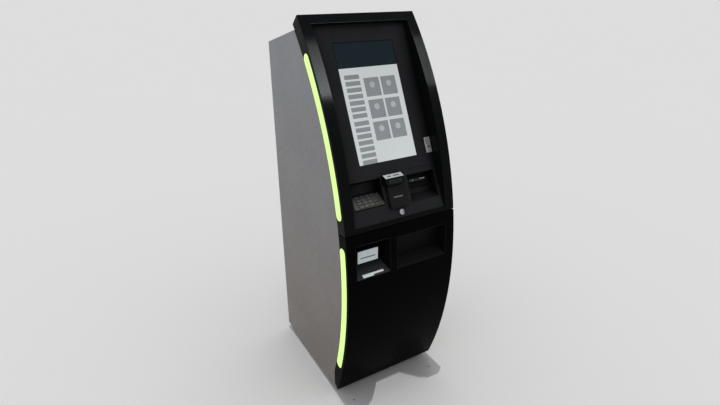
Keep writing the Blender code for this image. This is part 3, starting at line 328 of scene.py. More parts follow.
def make_finishes():
    grey = (0.185, 0.178, 0.176)
    return {
        # the last True paints light onto the cabinet's colour by height
        "cabinet_paint": painted_metal("cabinet_paint", grey, 0.35, 0.42, 0.20, 0.00004, True),
        "plate_steel": brushed_metal("plate_steel", (0.40, 0.40, 0.405), 0.46, "X", 0.35, 0.00004, 0.16),
        "inner_zinc": brushed_metal("inner_zinc", (0.46, 0.47, 0.48), 0.40, "Y", 0.9, 0.00002, 0.12),
        "safe_paint": painted_metal("safe_paint", (0.10, 0.11, 0.12), 0.1, 0.50, 0.30, 0.0001),
        "handle_steel": brushed_metal("handle_steel", (0.62, 0.62, 0.61), 0.26, "X"),
        "module_case": moulded_plastic("module_case", (0.10, 0.10, 0.11), 0.55, 0.00008),
        "inlet_black": moulded_plastic("inlet_black", (0.02, 0.02, 0.02), 0.45),
        "frame_black": gloss_black("frame_black", (0.0030, 0.0033, 0.0036), 0.11, 0.030),
        "door_black": gloss_black("door_black", (0.0012, 0.0012, 0.0011), 0.26, 0.012, 0.006),
        # console_black: its last numbers set the painted shade in its pockets
        "console_black": moulded_plastic("console_black", (0.0120, 0.0124, 0.0136), 0.46, 0.00005,
                                         1500.0, 0.08, 0.02, (0.080, 0.05, 1.0)),
        # the last colour of recess_black and bill_black is painted light on their up-facing ledges
        "recess_black": moulded_plastic("recess_black", (0.0034, 0.0036, 0.0035), 0.50, 0.00005,
                                        1400.0, 0.06, 0.015, None, (0.0085, 0.0098, 0.0088)),
        "bill_black": moulded_plastic("bill_black", (0.0034, 0.0036, 0.0035), 0.50, 0.00005,
                                      1400.0, 0.06, 0.015, None, (0.034, 0.036, 0.040)),
        "screen_border": glass_black("screen_border", (0.006, 0.0065, 0.007)),
        "screen_band": lit_layer("screen_band", (0.0085, 0.0165, 0.0210), 0.9),
        "screen_page": lit_layer("screen_page", (0.93, 0.985, 1.0), 1.0, (1.222, 1.598, 0.610, 0.555)),
        "screen_tile": lit_layer("screen_tile", (0.90, 0.96, 1.0), 1.0, (1.222, 1.598, 0.27, 0.225)),
        "screen_disc": lit_layer("screen_disc", (0.93, 0.98, 1.0), 1.0, (1.222, 1.598, 0.46, 0.34)),
        "screen_dot": lit_layer("screen_dot", (0.10, 0.11, 0.12), 0.8),
        "pad_steel": brushed_metal("pad_steel", (0.125, 0.123, 0.118), 0.40, "X", 0.8),
        "key_steel": brushed_metal("key_steel", (0.155, 0.153, 0.148), 0.34, "X", 0.85),
        "reader_silver": brushed_metal("reader_silver", (0.62, 0.63, 0.64), 0.26, "X", 0.5, 0.000008),
        "reader_black": moulded_plastic("reader_black", (0.0085, 0.0088, 0.0095), 0.42, 0.00003,
                                        1500.0, 0.06, 0.02),
        "throat_black": gloss_black("throat_black", (0.0026, 0.0028, 0.0034), 0.18, 0.08),
        "module_dark": moulded_plastic("module_dark", (0.0060, 0.0062, 0.0062), 0.45, 0.00005,
                                       1400.0, 0.08, 0.015),
        "acceptor_silver": painted_metal("acceptor_silver", (0.50, 0.56, 0.57), 0.15, 0.34, 0.25, 0.00001),
        "coin_steel": brushed_metal("coin_steel", (0.62, 0.62, 0.63), 0.28, "Z", 0.8),
        "lock_chrome": brushed_metal("lock_chrome", (0.42, 0.42, 0.43), 0.22, "Z", 0.9, 0.000004),
        "lip_white": moulded_plastic("lip_white", (0.70, 0.76, 0.75), 0.32, 0.00002),
        "strip_lime": strip_glow("strip_lime", (0.66, 0.97, 0.30), 1.0),
        "rubber": moulded_plastic("rubber", (0.012, 0.012, 0.012), 0.75, 0.00008, 900.0, 0.2),
        # grey for the printed digits and for the painted shade of the bill slot
        "flat_grey_and_shade": moulded_plastic("flat_grey_and_shade", (0.13, 0.13, 0.125), 0.55, 0.00001),
        "lamp_grey": lit_layer("lamp_grey", (0.105, 0.108, 0.110), 0.8),
        # black for print, the scanner window, and painted shade in openings and recesses
        "flat_black_and_shade": moulded_plastic("flat_black_and_shade", (0.012, 0.012, 0.012), 0.5, 0.00001),
        "screw_zinc": brushed_metal("screw_zinc", (0.50, 0.50, 0.50), 0.34, "X", 0.95),
        "screw_black": brushed_metal("screw_black", (0.035, 0.035, 0.037), 0.36, "X", 0.8),
        "lamp_green": lit_layer("lamp_green", (0.10, 0.85, 0.30), 0.8),
    }


FINISH = make_finishes()


# ---- finishing the CAD nodes -------------------------------------------------
def smooth_group():
    """Geometry nodes: smooth shading, with edges over an angle kept sharp."""
    group = bpy.data.node_groups.new("smooth_by_angle", "GeometryNodeTree")
    group.interface.new_socket("Geometry", in_out="INPUT", socket_type="NodeSocketGeometry")
    group.interface.new_socket("Geometry", in_out="OUTPUT", socket_type="NodeSocketGeometry")
    nodes = group.nodes
    start, end = nodes.new("NodeGroupInput"), nodes.new("NodeGroupOutput")
    drop = nodes.new("GeometryNodeRemoveAttribute")
    drop.inputs["Name"].default_value = "custom_normal"
    faces = nodes.new("GeometryNodeSetShadeSmooth")
    edges = nodes.new("GeometryNodeSetShadeSmooth")
    edges.domain = "EDGE"
    edges.inputs["Shade Smooth"].default_value = False
    angle = nodes.new("GeometryNodeInputMeshEdgeAngle")
    sharp = nodes.new("FunctionNodeCompare")
    sharp.operation = "GREATER_THAN"
    sharp.inputs[1].default_value = SHARP_ANGLE
    group.links.new(angle.outputs["Unsigned Angle"], sharp.inputs[0])
    group.links.new(sharp.outputs[0], edges.inputs["Selection"])
    group.links.new(start.outputs[0], drop.inputs[0])
    group.links.new(drop.outputs[0], faces.inputs["Geometry"])
    group.links.new(faces.outputs[0], edges.inputs["Geometry"])
    group.links.new(edges.outputs[0], end.inputs[0])
    return group


SMOOTH = smooth_group()


def smooth(piece):
    piece.modifiers.new("smooth", "NODES").node_group = SMOOTH


def weighted(piece):
    """Lets the large faces set the normals, so that gloss on them stays flat."""
    level = piece.modifiers.new("weighted", "WEIGHTED_NORMAL")
    level.mode = "FACE_AREA"
    level.keep_sharp = True


def soften(piece, width, segments=2):
    """Welds the faceted solid, merges flat triangles and rounds its edges."""
    weld = piece.modifiers.new("weld", "WELD")
    weld.merge_threshold = WELD
    flat = piece.modifiers.new("flat", "DECIMATE")
    flat.decimate_type = "DISSOLVE"
    flat.angle_limit = math.radians(0.2)
    if width:
        edge = piece.modifiers.new("edge", "BEVEL")
        edge.width = width
        edge.segments = segments
        edge.limit_method = "ANGLE"
        edge.angle_limit = SHARP_ANGLE
        edge.use_clamp_overlap = False
        edge.harden_normals = False
    smooth(piece)
    weighted(piece)


NODE_FINISH = {
    "plate_steel": (0.0008, ["base_plate"]),
    "cabinet_paint": (0.0006, ["side_panel_left", "side_panel_right", "top_cover", "rear_panel"]),
    "inner_zinc": (0.0004, ["floor_tray", "mid_shelf", "fascia_bracket_left", "fascia_bracket_right",
                            "door_bracket_left", "door_bracket_right", "shutter_guide"]),
    "safe_paint": (0.0012, ["safe_body", "safe_door"]),
    "handle_steel": (0.0006, ["safe_handle", "fascia_arm_left", "fascia_arm_right",
                              "door_arm_left", "door_arm_right"]),
    "module_case": (0.0015, ["cash_cassette_1", "cash_cassette_2", "cash_dispenser",
                             "control_computer", "display_module"]),
    "inlet_black": (0.0005, ["power_inlet"]),
    "frame_black": (0.0016, ["fascia_frame"]),
    "door_black": (0.0012, ["door_shell"]),
    "console_black": (0.0007, ["console_panel"]),
    "recess_black": (0.0007, ["cash_recess", "cash_shutter", "code_scanner"]),
    "bill_black": (0.0007, ["bill_recess"]),
    "screen_border": (0.0004, ["display_glass"]),
    "pad_steel": (0.0004, ["pin_pad"]),
    "reader_black": (0.0010, ["tap_reader"]),
    "throat_black": (0.0010, ["card_reader"]),
    "module_dark": (0.0012, ["bill_acceptor"]),
    "coin_steel": (0.0006, ["coin_bezel"]),
    "lock_chrome": (0.0006, ["fascia_lock"]),
    "lip_white": (0.0008, ["ticket_lip"]),
    "strip_lime": (0.0004, ["light_strip_upper_left", "light_strip_upper_right",
                            "light_strip_lower_left", "light_strip_lower_right"]),
    "key_steel": (0.0006, sorted(n for n in NODES if n.startswith("key_"))),
}


def finish_nodes():
    for finish, (width, names) in NODE_FINISH.items():
        for name in names:
            piece = NODES[name]
            piece.data.materials.clear()
            piece.data.materials.append(FINISH[finish])
            soften(piece, width)


# ---- small pieces ------------------------------------------------------------
def rounded(width, height, radius, centre=(0.0, 0.0), steps=5):
    """Outline of a rectangle with round corners, anticlockwise."""
    points = []
    for quarter, (sx, sy) in enumerate(((1, 1), (-1, 1), (-1, -1), (1, -1))):
        x = centre[0] + sx * (width / 2 - radius)
        y = centre[1] + sy * (height / 2 - radius)
        for i in range(steps + 1):
            turn = (quarter + i / steps) * math.pi / 2
            points.append((x + radius * math.cos(turn), y + radius * math.sin(turn)))
    return points


def ring(radius, centre=(0.0, 0.0), sides=32):
    turns = [2 * math.pi * i / sides for i in range(sides)]
    return [(centre[0] + radius * math.cos(t), centre[1] + radius * math.sin(t)) for t in turns]


def add_plate(shape, outline, low, high, hole=None):
    """A flat plate from one height to another, with a hole of as many points as its outline."""
    bottom = [shape.verts.new((x, y, low)) for x, y in outline]
    top = [shape.verts.new((x, y, high)) for x, y in outline]
    count = len(outline)
    around = [(i, (i + 1) % count) for i in range(count)]
    for i, j in around:
        shape.faces.new((bottom[i], bottom[j], top[j], top[i]))
    if hole is None:
        shape.faces.new(top)
        shape.faces.new(bottom[::-1])
        return
    inner_bottom = [shape.verts.new((x, y, low)) for x, y in hole]
    inner_top = [shape.verts.new((x, y, high)) for x, y in hole]
    for i, j in around:
        shape.faces.new((top[i], top[j], inner_top[j], inner_top[i]))
        shape.faces.new((bottom[j], bottom[i], inner_bottom[i], inner_bottom[j]))
        shape.faces.new((inner_bottom[j], inner_bottom[i], inner_top[i], inner_top[j]))


def make_piece(name, shape, place, body, finish, bevel=0.0):
    """Turns a bmesh into a piece in the row frame that rides on a body."""
    bmesh.ops.recalc_face_normals(shape, faces=shape.faces)
    mesh = bpy.data.meshes.new(name)
    shape.to_mesh(mesh)
    shape.free()
    mesh.transform(place)
    piece = bpy.data.objects.new(name, mesh)
    SCENE.collection.objects.link(piece)
    piece.data.materials.append(FINISH[finish])
    if bevel:
        edge = piece.modifiers.new("edge", "BEVEL")
        edge.width = bevel
        edge.segments = 2
        edge.limit_method = "ANGLE"
        edge.angle_limit = SHARP_ANGLE
    smooth(piece)
    weighted(piece)
    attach(piece, body)
    return piece


def plate_piece(name, outline, low, high, place, body, finish, bevel=0.0, hole=None):
    shape = bmesh.new()
    add_plate(shape, outline, low, high, hole)
    return make_piece(name, shape, place, body, finish, bevel)


# ---- the display's menu --------------------------------------------------------
PAGE_TOP = 0.6795                     # upper edge of the white page, in s
MENU_BARS = (7, 7)
BAR_LEFT, BAR_RIGHT = -0.131, -0.058
BAR_TALL = 0.0195
BAR_PITCH = 0.0282
BAR_TOP = 0.650
BAR_BREAK = 0.0050                    # extra gap between the two groups of bars
TILE_LEFT = -0.0395
TILE_WIDE, TILE_TALL = 0.0770, 0.0830
TILE_PITCH_X, TILE_PITCH_S = 0.0860, 0.0975
TILE_TOP = 0.631
DISC_R, DISC_UP = 0.0135, 0.0100
DOT_R, DOT_OUT, DOT_DOWN = 0.0024, 0.0290, 0.0300


def screen_layers():
    low, high = panel_span("display_glass")
    face = high.z
    edge = 0.003
    left, right = low.x + edge, high.x - edge
    base, top = low.y + edge, high.y - edge
    place = panel_matrix()
    band = rounded(right - left, top - PAGE_TOP, 0.0004, (0.0, (top + PAGE_TOP) / 2))
    plate_piece("screen_band", band, face, face + LAYER, place, "fascia", "screen_band")
    page = rounded(right - left, PAGE_TOP - base, 0.0004, (0.0, (PAGE_TOP + base) / 2))
    plate_piece("screen_page", page, face, face + LAYER, place, "fascia", "screen_page")
    menu_bars(face + LAYER, place)
    menu_tiles(face + LAYER, place)


def menu_bars(face, place):
    shape = bmesh.new()
    top = BAR_TOP
    for group in MENU_BARS:
        for _ in range(group):
            centre = ((BAR_LEFT + BAR_RIGHT) / 2, top - BAR_TALL / 2)
            add_plate(shape, rounded(BAR_RIGHT - BAR_LEFT, BAR_TALL, 0.0012, centre), face, face + LAYER)
            top -= BAR_PITCH
        top -= BAR_BREAK
    make_piece("screen_menu_bars", shape, place, "fascia", "screen_tile")


def menu_tiles(face, place):
    tiles, discs, dots = bmesh.new(), bmesh.new(), bmesh.new()
    for row in range(3):
        for column in range(2):
            x = TILE_LEFT + TILE_WIDE / 2 + column * TILE_PITCH_X
            s = TILE_TOP - TILE_TALL / 2 - row * TILE_PITCH_S
            add_plate(tiles, rounded(TILE_WIDE, TILE_TALL, 0.0016, (x, s)), face, face + LAYER)
            add_plate(discs, ring(DISC_R, (x, s + DISC_UP)), face + LAYER, face + 2 * LAYER)
            add_plate(dots, ring(DOT_R, (x + DOT_OUT, s - DOT_DOWN), 16), face + LAYER, face + 2 * LAYER)
    make_piece("screen_tiles", tiles, place, "fascia", "screen_tile")
    make_piece("screen_discs", discs, place, "fascia", "screen_disc")
    make_piece("screen_dots", dots, place, "fascia", "screen_dot")


# ---- fittings --------------------------------------------------------------------
SUNK = 0.0004                         # how far a fitted plate starts inside what carries it
ACCEPTOR_THICK = 0.0030
ACCEPTOR_MARGIN = 0.001               # left bare round the acceptor's front plate
ACCEPTOR_SLOT_Z = 0.833
ACCEPTOR_SLOT_TALL = 0.0065
ACCEPTOR_SEAM_Z = 0.853
ACCEPTOR_SEAM_WIDE = 0.0008
SCREW_HEAD = 0.0034
SCREW_TALL = 0.0012
SCREW_SUNK = 0.0002
CROSS_LONG, CROSS_WIDE = 0.0034, 0.0008


def upright(x=0.0, y=0.0, z=0.0):
    """Frame of an upright face towards the user: x across, y up, z out of it."""
    return Matrix.Translation((x, y, z)) @ Matrix.Rotation(math.pi / 2, 4, "X")


def upright_back(x=0.0, y=0.0, z=0.0):
    """Frame of an upright face away from the user."""
    turn = Matrix.Rotation(math.pi, 4, "Z") @ Matrix.Rotation(math.pi / 2, 4, "X")
    return Matrix.Translation((x, y, z)) @ turn


def corners_of(node):
    """Lowest and highest corner of a CAD node, with its frame along the axes."""
    return span_in(Matrix.Identity(4), node)


def bill_acceptor_face():
    """Silver front plate of the bill acceptor, with the slot's shade painted as a grey band, and its own
    seam.
    """
    low, high = corners_of("bill_acceptor")
    middle = ((low.x + high.x) / 2, (low.z + high.z) / 2)
    wide = high.x - low.x - 2 * ACCEPTOR_MARGIN
    tall = high.z - low.z - 2 * ACCEPTOR_MARGIN
    place = upright(0.0, low.y, 0.0)
    outline = rounded(wide, tall, 0.0030, middle)
    plate_piece("acceptor_plate", outline, -SUNK, ACCEPTOR_THICK, place, "lower_door",
                "acceptor_silver", 0.0006)
    # painted shade: a flat grey band stands for the shade inside the bill slot
    slot = rounded(wide * 0.74, ACCEPTOR_SLOT_TALL, 0.0020, (middle[0], ACCEPTOR_SLOT_Z))
    plate_piece("acceptor_slot", slot, ACCEPTOR_THICK, ACCEPTOR_THICK + LAYER, place, "lower_door",
                "flat_grey_and_shade")
    seam = rounded(ACCEPTOR_SEAM_WIDE, tall * 0.36, 0.0002, (middle[0], ACCEPTOR_SEAM_Z))
    plate_piece("acceptor_seam", seam, ACCEPTOR_THICK, ACCEPTOR_THICK + LAYER, place, "lower_door",
                "reader_black")


CARD_SLOPE_START = (0.1800, 0.0300)  # in s and d, where its bright top slope begins
CARD_SLOPE_END = (0.1990, 0.0080)
CARD_CAP_THICK = 0.0012
CARD_MARK_TALL = 0.0062
CARD_MARKS = ((-0.022, 0.018), (0.014, 0.030))   # where each lies in x, and its width
CARD_SLOT = (0.0560, 0.0036)
CARD_RING = (0.0660, 0.0120)


def card_reader_trim():
    """Silver top slope with its two cut-outs, and the ring round the card slot."""
    low, high = panel_span("card_reader")
    middle = (low.x + high.x) / 2
    run = CARD_SLOPE_END[0] - CARD_SLOPE_START[0]
    fall = CARD_SLOPE_START[1] - CARD_SLOPE_END[1]
    along = math.hypot(run, fall)
    turn = Matrix.Rotation(-math.atan2(fall, run), 4, "X")
    top = panel_matrix(middle, *CARD_SLOPE_START) @ turn
    cap = rounded(high.x - low.x - 0.003, along - 0.002, 0.0025, (0.0, along / 2))
    plate_piece("card_cap", cap, -SUNK, CARD_CAP_THICK, top, "fascia",
                "reader_silver", 0.0004)
    marks = bmesh.new()
    for x, wide in CARD_MARKS:
        outline = rounded(wide, CARD_MARK_TALL, 0.0020, (x, along * 0.46))
        add_plate(marks, outline, CARD_CAP_THICK, CARD_CAP_THICK + LAYER)
    make_piece("card_cap_marks", marks, top, "fascia", "flat_black_and_shade")
    place = panel_matrix()
    slot_s = (low.y + high.y - run) / 2
    hole = rounded(*CARD_SLOT, 0.0014, (middle, slot_s))
    ring_outline = rounded(*CARD_RING, 0.0030, (middle, slot_s))
    plate_piece("card_slot_ring", ring_outline, high.z - SUNK, high.z + 0.0010, place, "fascia",
                "screw_black", 0.0002, hole)


TAP_BAR = (0.0480, 0.0068)
TAP_BAR_PLACE = (-0.002, 0.0955)      # in x and s


def tap_reader_marks():
    """Faint status bar of the contactless reader."""
    face = panel_span("tap_reader")[1].z
    bar = rounded(*TAP_BAR, 0.0014, TAP_BAR_PLACE)
    plate_piece("tap_bar", bar, face, face + LAYER, panel_matrix(), "fascia", "lamp_grey")


SCAN_WINDOW, SCAN_WINDOW_PLACE = (0.0900, 0.0130), (0.150, 0.1495)
SCAN_TRIM, SCAN_TRIM_PLACE = (0.0260, 0.0026), (0.178, 0.1510)
SCAN_LAMP, SCAN_LAMP_PLACE = (0.0060, 0.0024), (0.124, 0.1500)
SCAN_TRIM_THICK = 0.0006


def scanner_face():
    """Window, chrome trim and lamp of the code scanner, down in its pocket."""
    face = panel_span("code_scanner")[1].z
    place = panel_matrix()
    window = rounded(*SCAN_WINDOW, 0.0020, SCAN_WINDOW_PLACE)
    plate_piece("scanner_window", window, face, face + LAYER, place, "fascia",
                "flat_black_and_shade")
    trim = rounded(*SCAN_TRIM, 0.0010, SCAN_TRIM_PLACE)
    plate_piece("scanner_trim", trim, face, face + SCAN_TRIM_THICK, place, "fascia",
                "reader_silver", 0.0002)
    lamp = rounded(*SCAN_LAMP, 0.0010, SCAN_LAMP_PLACE)
    plate_piece("scanner_lamp", lamp, face + LAYER, face + 2 * LAYER, place, "fascia",
                "lamp_green")


COIN_HOLE_R = 0.0050
COIN_HOLE_OFF = (0.002, -0.010)       # from the middle of the steel plate
COIN_GUIDE = (0.0040, 0.0240)
COIN_GUIDE_OFF = (-0.006, 0.008)
COIN_GUIDE_THICK = 0.0008
LOCK_X = 0.0148
KEYWAY = (0.0044, 0.0125)
COLLAR_R, COLLAR_BORE_R = 0.0138, 0.0126
COLLAR_THICK = 0.0012


def coin_and_lock():
    """Coin opening in its steel plate and the keyway of the fascia's lock, each a black layer of painted
    shade, and the lock's collar.
    """
    place = panel_matrix()
    low, high = panel_span("coin_bezel")
    middle_x, middle_s = (low.x + high.x) / 2, (low.y + high.y) / 2
    hole = ring(COIN_HOLE_R, (middle_x + COIN_HOLE_OFF[0], middle_s + COIN_HOLE_OFF[1]), 24)
    # painted shade: a black disc stands for the shade inside the coin opening
    plate_piece("coin_opening", hole, high.z, high.z + LAYER, place, "fascia", "flat_black_and_shade")
    guide_place = (middle_x + COIN_GUIDE_OFF[0], middle_s + COIN_GUIDE_OFF[1])
    plate_piece("coin_guide", rounded(*COIN_GUIDE, 0.0015, guide_place), high.z,
                high.z + COIN_GUIDE_THICK, place, "fascia", "lock_chrome", 0.0002)
    low, high = panel_span("fascia_lock")
    middle = (LOCK_X, (low.y + high.y) / 2)
    # painted shade: a black layer stands for the shade inside the keyway
    plate_piece("lock_keyway", rounded(*KEYWAY, 0.0012, middle), high.z, high.z + LAYER, place,
                "fascia_lock", "flat_black_and_shade")
    plate_piece("lock_collar", ring(COLLAR_R, middle, 40), -SCREW_SUNK, COLLAR_THICK, place, "fascia",
                "screw_black", 0.0003, ring(COLLAR_BORE_R, middle, 40))


DIGITS = {"key_11": "1", "key_12": "2", "key_13": "3", "key_21": "4", "key_22": "5", "key_23": "6",
          "key_31": "7", "key_32": "8", "key_33": "9", "key_42": "0"}
DIGIT_TALL = 0.0064


def key_digits():
    """Plain digits printed on the keys, each riding on its own key."""
    for node, digit in DIGITS.items():
        curve = bpy.data.curves.new("digit_curve", "FONT")
        curve.body = digit
        curve.size = DIGIT_TALL
        curve.align_x = "CENTER"
        curve.align_y = "CENTER"
        curve.extrude = LAYER / 2
        flat = bpy.data.objects.new("digit_source", curve)
        SCENE.collection.objects.link(flat)
        bpy.context.view_layer.update()
        mesh = bpy.data.meshes.new_from_object(flat)
        bpy.data.objects.remove(flat)
        mesh.transform(key_face(node))
        piece = bpy.data.objects.new("digit_" + node, mesh)
        SCENE.collection.objects.link(piece)
        piece.data.materials.append(FINISH["flat_grey_and_shade"])
        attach(piece, node)


def key_face(node):
    """Frame on the top face of a key: x across, y up its slope, z out of it."""
    mesh = NODES[node].data
    normals = {}
    for face in mesh.polygons:
        key = tuple(round(c, 2) for c in face.normal)
        normals[key] = normals.get(key, 0.0) + face.area
    upward = [(area, key) for key, area in normals.items() if key[2] > 0.5 and key[1] < 0.0]
    out = Vector(max(upward)[1]).normalized()
    reach = max(v.co.dot(out) for v in mesh.vertices)
    top = [v.co for v in mesh.vertices if reach - v.co.dot(out) < 0.0001]
    centre = sum(top, Vector()) / len(top)
    across = Vector((1.0, 0.0, 0.0))
    up = out.cross(across).normalized()
    turn = Matrix((across, up, out)).transposed().to_4x4()
    return Matrix.Translation(centre + out * LAYER / 2) @ turn


def screws(name, spots, place, body, finish):
    """Pan-head screws on one flat face, the shade in each cross recess painted as a dark mark."""
    heads, marks = bmesh.new(), bmesh.new()
    for spot in spots:
        add_plate(heads, ring(SCREW_HEAD, spot, 20), -SCREW_SUNK, SCREW_TALL)
        # painted shade: each cross recess is a dark layer on the head
        for wide, tall in ((CROSS_LONG, CROSS_WIDE), (CROSS_WIDE, CROSS_LONG)):
            add_plate(marks, rounded(wide, tall, 0.0002, spot, 2), SCREW_TALL, SCREW_TALL + LAYER)
    make_piece(name, heads, place, body, finish, 0.0004)
    make_piece(name + "_marks", marks, place, body, "flat_black_and_shade")


REAR_ROWS = 7
REAR_INSET_Z = 0.030
REAR_SCREW_X = 0.276


def rear_screws():
    """Two upright rows of screws that hold the rear panel."""
    low, high = corners_of("rear_panel")
    reach = high.z - low.z - 2 * REAR_INSET_Z
    rows = [low.z + REAR_INSET_Z + reach * i / (REAR_ROWS - 1) for i in range(REAR_ROWS)]
    spots = [(x, z) for z in rows for x in (-REAR_SCREW_X, REAR_SCREW_X)]
    screws("rear_screws", spots, upright_back(0.0, high.y, 0.0), "cabinet", "screw_zinc")


GRIP_WIDE, GRIP_TALL, GRIP_THICK = 0.110, 0.018, 0.010


def cassette_handles():
    """Grip bars on the front of the two cash cassettes."""
    for node in ("cash_cassette_1", "cash_cassette_2"):
        low, high = corners_of(node)
        place = upright(0.0, low.y, 0.0)
        height = (low.z + high.z) / 2
        grip = rounded(GRIP_WIDE, GRIP_TALL, 0.006, (0.0, height))
        plate_piece(node + "_grip", grip, -SUNK, GRIP_THICK, place, "cabinet",
                    "rubber", 0.0016)


DIAL_X = -0.080
DIAL_R = 0.030
DIAL_BASE_THICK = 0.0040
DIAL_THICK = 0.0130
DIAL_MARKS = 20
DIAL_MARK_R = 0.0009
BARREL_SHARES = (0.12, 0.50, 0.88)    # heights of the hinge barrels on the door
BARREL_R = 0.011
BARREL_TALL = 0.090


def safe_fittings():
    """Combination dial with plain graduation marks, and the safe door's hinge barrels."""
    low, high = corners_of("safe_door")
    handle_low, handle_high = corners_of("safe_handle")
    height = (handle_low.z + handle_high.z) / 2
    face = upright(0.0, low.y, 0.0)
    centre = (DIAL_X, height)
    plate_piece("safe_dial_base", ring(DIAL_R, centre, 48), -SCREW_SUNK, DIAL_BASE_THICK, face, "cabinet",
                "handle_steel", 0.0006)
    plate_piece("safe_dial", ring(DIAL_R * 0.74, centre, 48), DIAL_BASE_THICK - SUNK, DIAL_THICK,
                face, "cabinet", "rubber", 0.0012)
    marks = bmesh.new()
    for spot in ring(0.88 * DIAL_R, centre, DIAL_MARKS):
        add_plate(marks, ring(DIAL_MARK_R, spot, 12), DIAL_BASE_THICK, DIAL_BASE_THICK + LAYER)
    make_piece("safe_dial_marks", marks, face, "cabinet", "flat_black_and_shade")
    barrels = bmesh.new()
    for share in BARREL_SHARES:
        base = low.z + share * (high.z - low.z) - BARREL_TALL / 2
        add_plate(barrels, ring(BARREL_R, (low.x + BARREL_R, -low.y), 28), base, base + BARREL_TALL)
    flip = Matrix.Diagonal((1.0, -1.0, 1.0, 1.0))
    make_piece("safe_hinge_barrels", barrels, flip, "cabinet", "handle_steel", 0.0008)


PORTS = 6
PORT_WIDE, PORT_TALL = 0.015, 0.007
PORT_PITCH = 0.026
PORT_FIRST = (0.030, 0.032)           # from the computer's lower left corner


def computer_ports():
    """Row of plain port openings on the front of the control computer, each a dark layer of painted shade.
    """
    low = corners_of("control_computer")[0]
    place = upright(0.0, low.y, 0.0)
    shape = bmesh.new()
    for step in range(PORTS):
        centre = (low.x + PORT_FIRST[0] + step * PORT_PITCH, low.z + PORT_FIRST[1])
        # painted shade: each opening is a dark layer
        add_plate(shape, rounded(PORT_WIDE, PORT_TALL, 0.0012, centre), 0.0, LAYER)
    make_piece("computer_ports", shape, place, "cabinet", "flat_black_and_shade")


# ---- stage ---------------------------------------------------------------------
def camera():
    data = bpy.data.cameras.new("camera")
    data.lens = CAMERA_LENS
    data.sensor_width = 36.0
    data.clip_end = 4 * STAGE_HALF
    made = bpy.data.objects.new("camera", data)
    made.location = CAMERA_PLACE
    made.rotation_euler = (CAMERA_TILT, 0.0, CAMERA_PAN)
    SCENE.collection.objects.link(made)
    SCENE.camera = made


def seen_directly(tree):
    """1 for camera, glossy and transmission rays, which see the plain pale backdrop."""
    path = tree.nodes.new("ShaderNodeLightPath")
    total = path.outputs["Is Camera Ray"]
    for name in ("Is Glossy Ray", "Is Transmission Ray"):
        add = tree.nodes.new("ShaderNodeMath")
        add.operation = "ADD"
        add.use_clamp = True
        tree.links.new(total, add.inputs[0])
        tree.links.new(path.outputs[name], add.inputs[1])
        total = add.outputs[0]
    return total


def world():
    made = bpy.data.worlds.new("studio")
    made.use_nodes = True
    SCENE.world = made
    tree = made.node_tree
    tree.nodes.clear()
    output = tree.nodes.new("ShaderNodeOutputWorld")
    light, seen = tree.nodes.new("ShaderNodeBackground"), tree.nodes.new("ShaderNodeBackground")
    seen.inputs["Color"].default_value = (*PALE, 1.0)
    coordinates = tree.nodes.new("ShaderNodeTexCoord")
    split = tree.nodes.new("ShaderNodeSeparateXYZ")
    rise = tree.nodes.new("ShaderNodeMapRange")
    rise.inputs["From Min"].default_value = -0.4
    rise.inputs["From Max"].default_value = 0.1
    tint = tree.nodes.new("ShaderNodeMix")
    tint.data_type = "RGBA"
    tint.inputs[6].default_value = (*GROUND_LIGHT, 1.0)
    tint.inputs[7].default_value = (*SKY_LIGHT, 1.0)
    pick = tree.nodes.new("ShaderNodeMixShader")
    tree.links.new(coordinates.outputs["Generated"], split.inputs[0])
    tree.links.new(split.outputs["Z"], rise.inputs["Value"])
    tree.links.new(rise.outputs["Result"], tint.inputs[0])
    tree.links.new(tint.outputs[2], light.inputs["Color"])
    tree.links.new(seen_directly(tree), pick.inputs[0])
    tree.links.new(light.outputs[0], pick.inputs[1])
    tree.links.new(seen.outputs[0], pick.inputs[2])
    tree.links.new(pick.outputs[0], output.inputs["Surface"])


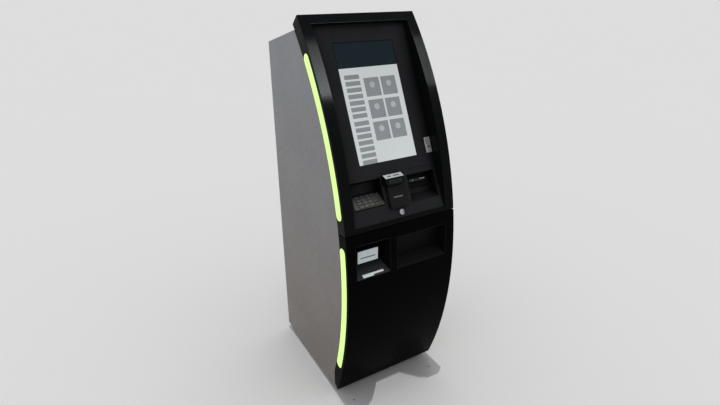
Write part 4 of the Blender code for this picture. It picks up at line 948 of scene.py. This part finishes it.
def floor():
    shape = bmesh.new()
    corners = ((-1, -1), (1, -1), (1, 1), (-1, 1))
    shape.faces.new([shape.verts.new((x * STAGE_HALF, y * STAGE_HALF, 0.0)) for x, y in corners])
    mesh = bpy.data.meshes.new("floor")
    shape.to_mesh(mesh)
    shape.free()
    made = bpy.data.objects.new("floor", mesh)
    SCENE.collection.objects.link(made)
    paper = Finish("floor_paper")
    tone = paper.spread(paper.noise(0.8, 3.0), 0.3, 0.7, 0.998, 1.002)
    paper.shade(Base_Color=paper.blend(1.0, PALE, tone, "MULTIPLY"), Roughness=0.9, Specular_IOR_Level=0.0)
    made.data.materials.append(paper.material)
    made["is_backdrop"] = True


def band_panel():
    """A light panel overhead that only shows in gloss, brighter towards its front edge."""
    shape = bmesh.new()
    half_x, half_y = BAND_SIZE[0] / 2, BAND_SIZE[1] / 2
    corners = ((-1, -1), (-1, 1), (1, 1), (1, -1))
    centre = Vector(BAND_PLACE)
    shape.faces.new([shape.verts.new(centre + Vector((x * half_x, y * half_y, 0.0))) for x, y in corners])
    mesh = bpy.data.meshes.new("band_panel")
    shape.to_mesh(mesh)
    shape.free()
    made = bpy.data.objects.new("band_panel", mesh)
    SCENE.collection.objects.link(made)
    glow = Finish("band_glow")
    axes = glow.node("ShaderNodeSeparateXYZ", {0: glow.place}).outputs
    front = BAND_PLACE[1] - half_y
    depth = glow.spread(axes["Y"], front, front + 2 * half_y, 1.0, 0.25)
    side = glow.spread(axes["X"], 0.80, 1.60, BAND_RADIANCE, 0.30 * BAND_RADIANCE)
    level = glow.math("MULTIPLY", depth, side)
    glow.shade(Base_Color=(0.0, 0.0, 0.0), Emission_Color=(0.94, 1.0, 1.0), Emission_Strength=level,
               Specular_IOR_Level=0.0)
    made.data.materials.append(glow.material)
    made.visible_camera = False
    made.visible_diffuse = False
    made.visible_shadow = False
    made.visible_transmission = False
    mirrors = bpy.data.collections.new("mirrors_band")
    mirrors.objects.link(NODES["fascia_frame"])
    made.light_linking.receiver_collection = mirrors
    made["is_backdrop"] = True


def soft_lamp(name, place, size, watts, colour, receivers):
    """A wide soft lamp that lights only the object, so the floor stays plain."""
    data = bpy.data.lights.new(name, "AREA")
    data.shape = "DISK"
    data.size = size
    data.energy = watts
    data.color = colour
    data.specular_factor = 0.0
    made = bpy.data.objects.new(name, data)
    made.location = place
    aim = Vector((0.0, 0.0, 1.2)) - made.location
    made.rotation_euler = aim.to_track_quat("-Z", "Y").to_euler()
    made.light_linking.receiver_collection = receivers
    made.visible_glossy = False
    SCENE.collection.objects.link(made)


def lamps():
    """A cool lamp that the side panel shows, and one overhead for the ledges."""
    receivers = bpy.data.collections.new("lit_by_lamps")
    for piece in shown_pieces():
        receivers.objects.link(piece)
    soft_lamp("side_lamp", (-3.2, 0.6, 3.4), 3.0, SOFT_WATTS, (0.90, 0.96, 1.0), receivers)
    soft_lamp("top_lamp", (-0.3, -0.9, 4.2), 1.8, TOP_WATTS, (1.0, 1.0, 1.0), receivers)


SCENE.view_settings.view_transform = "Standard"
camera()
world()
floor()
band_panel()
finish_nodes()
screen_layers()
bill_acceptor_face()
card_reader_trim()
tap_reader_marks()
scanner_face()
coin_and_lock()
key_digits()
rear_screws()
cassette_handles()
safe_fittings()
computer_ports()
lamps()
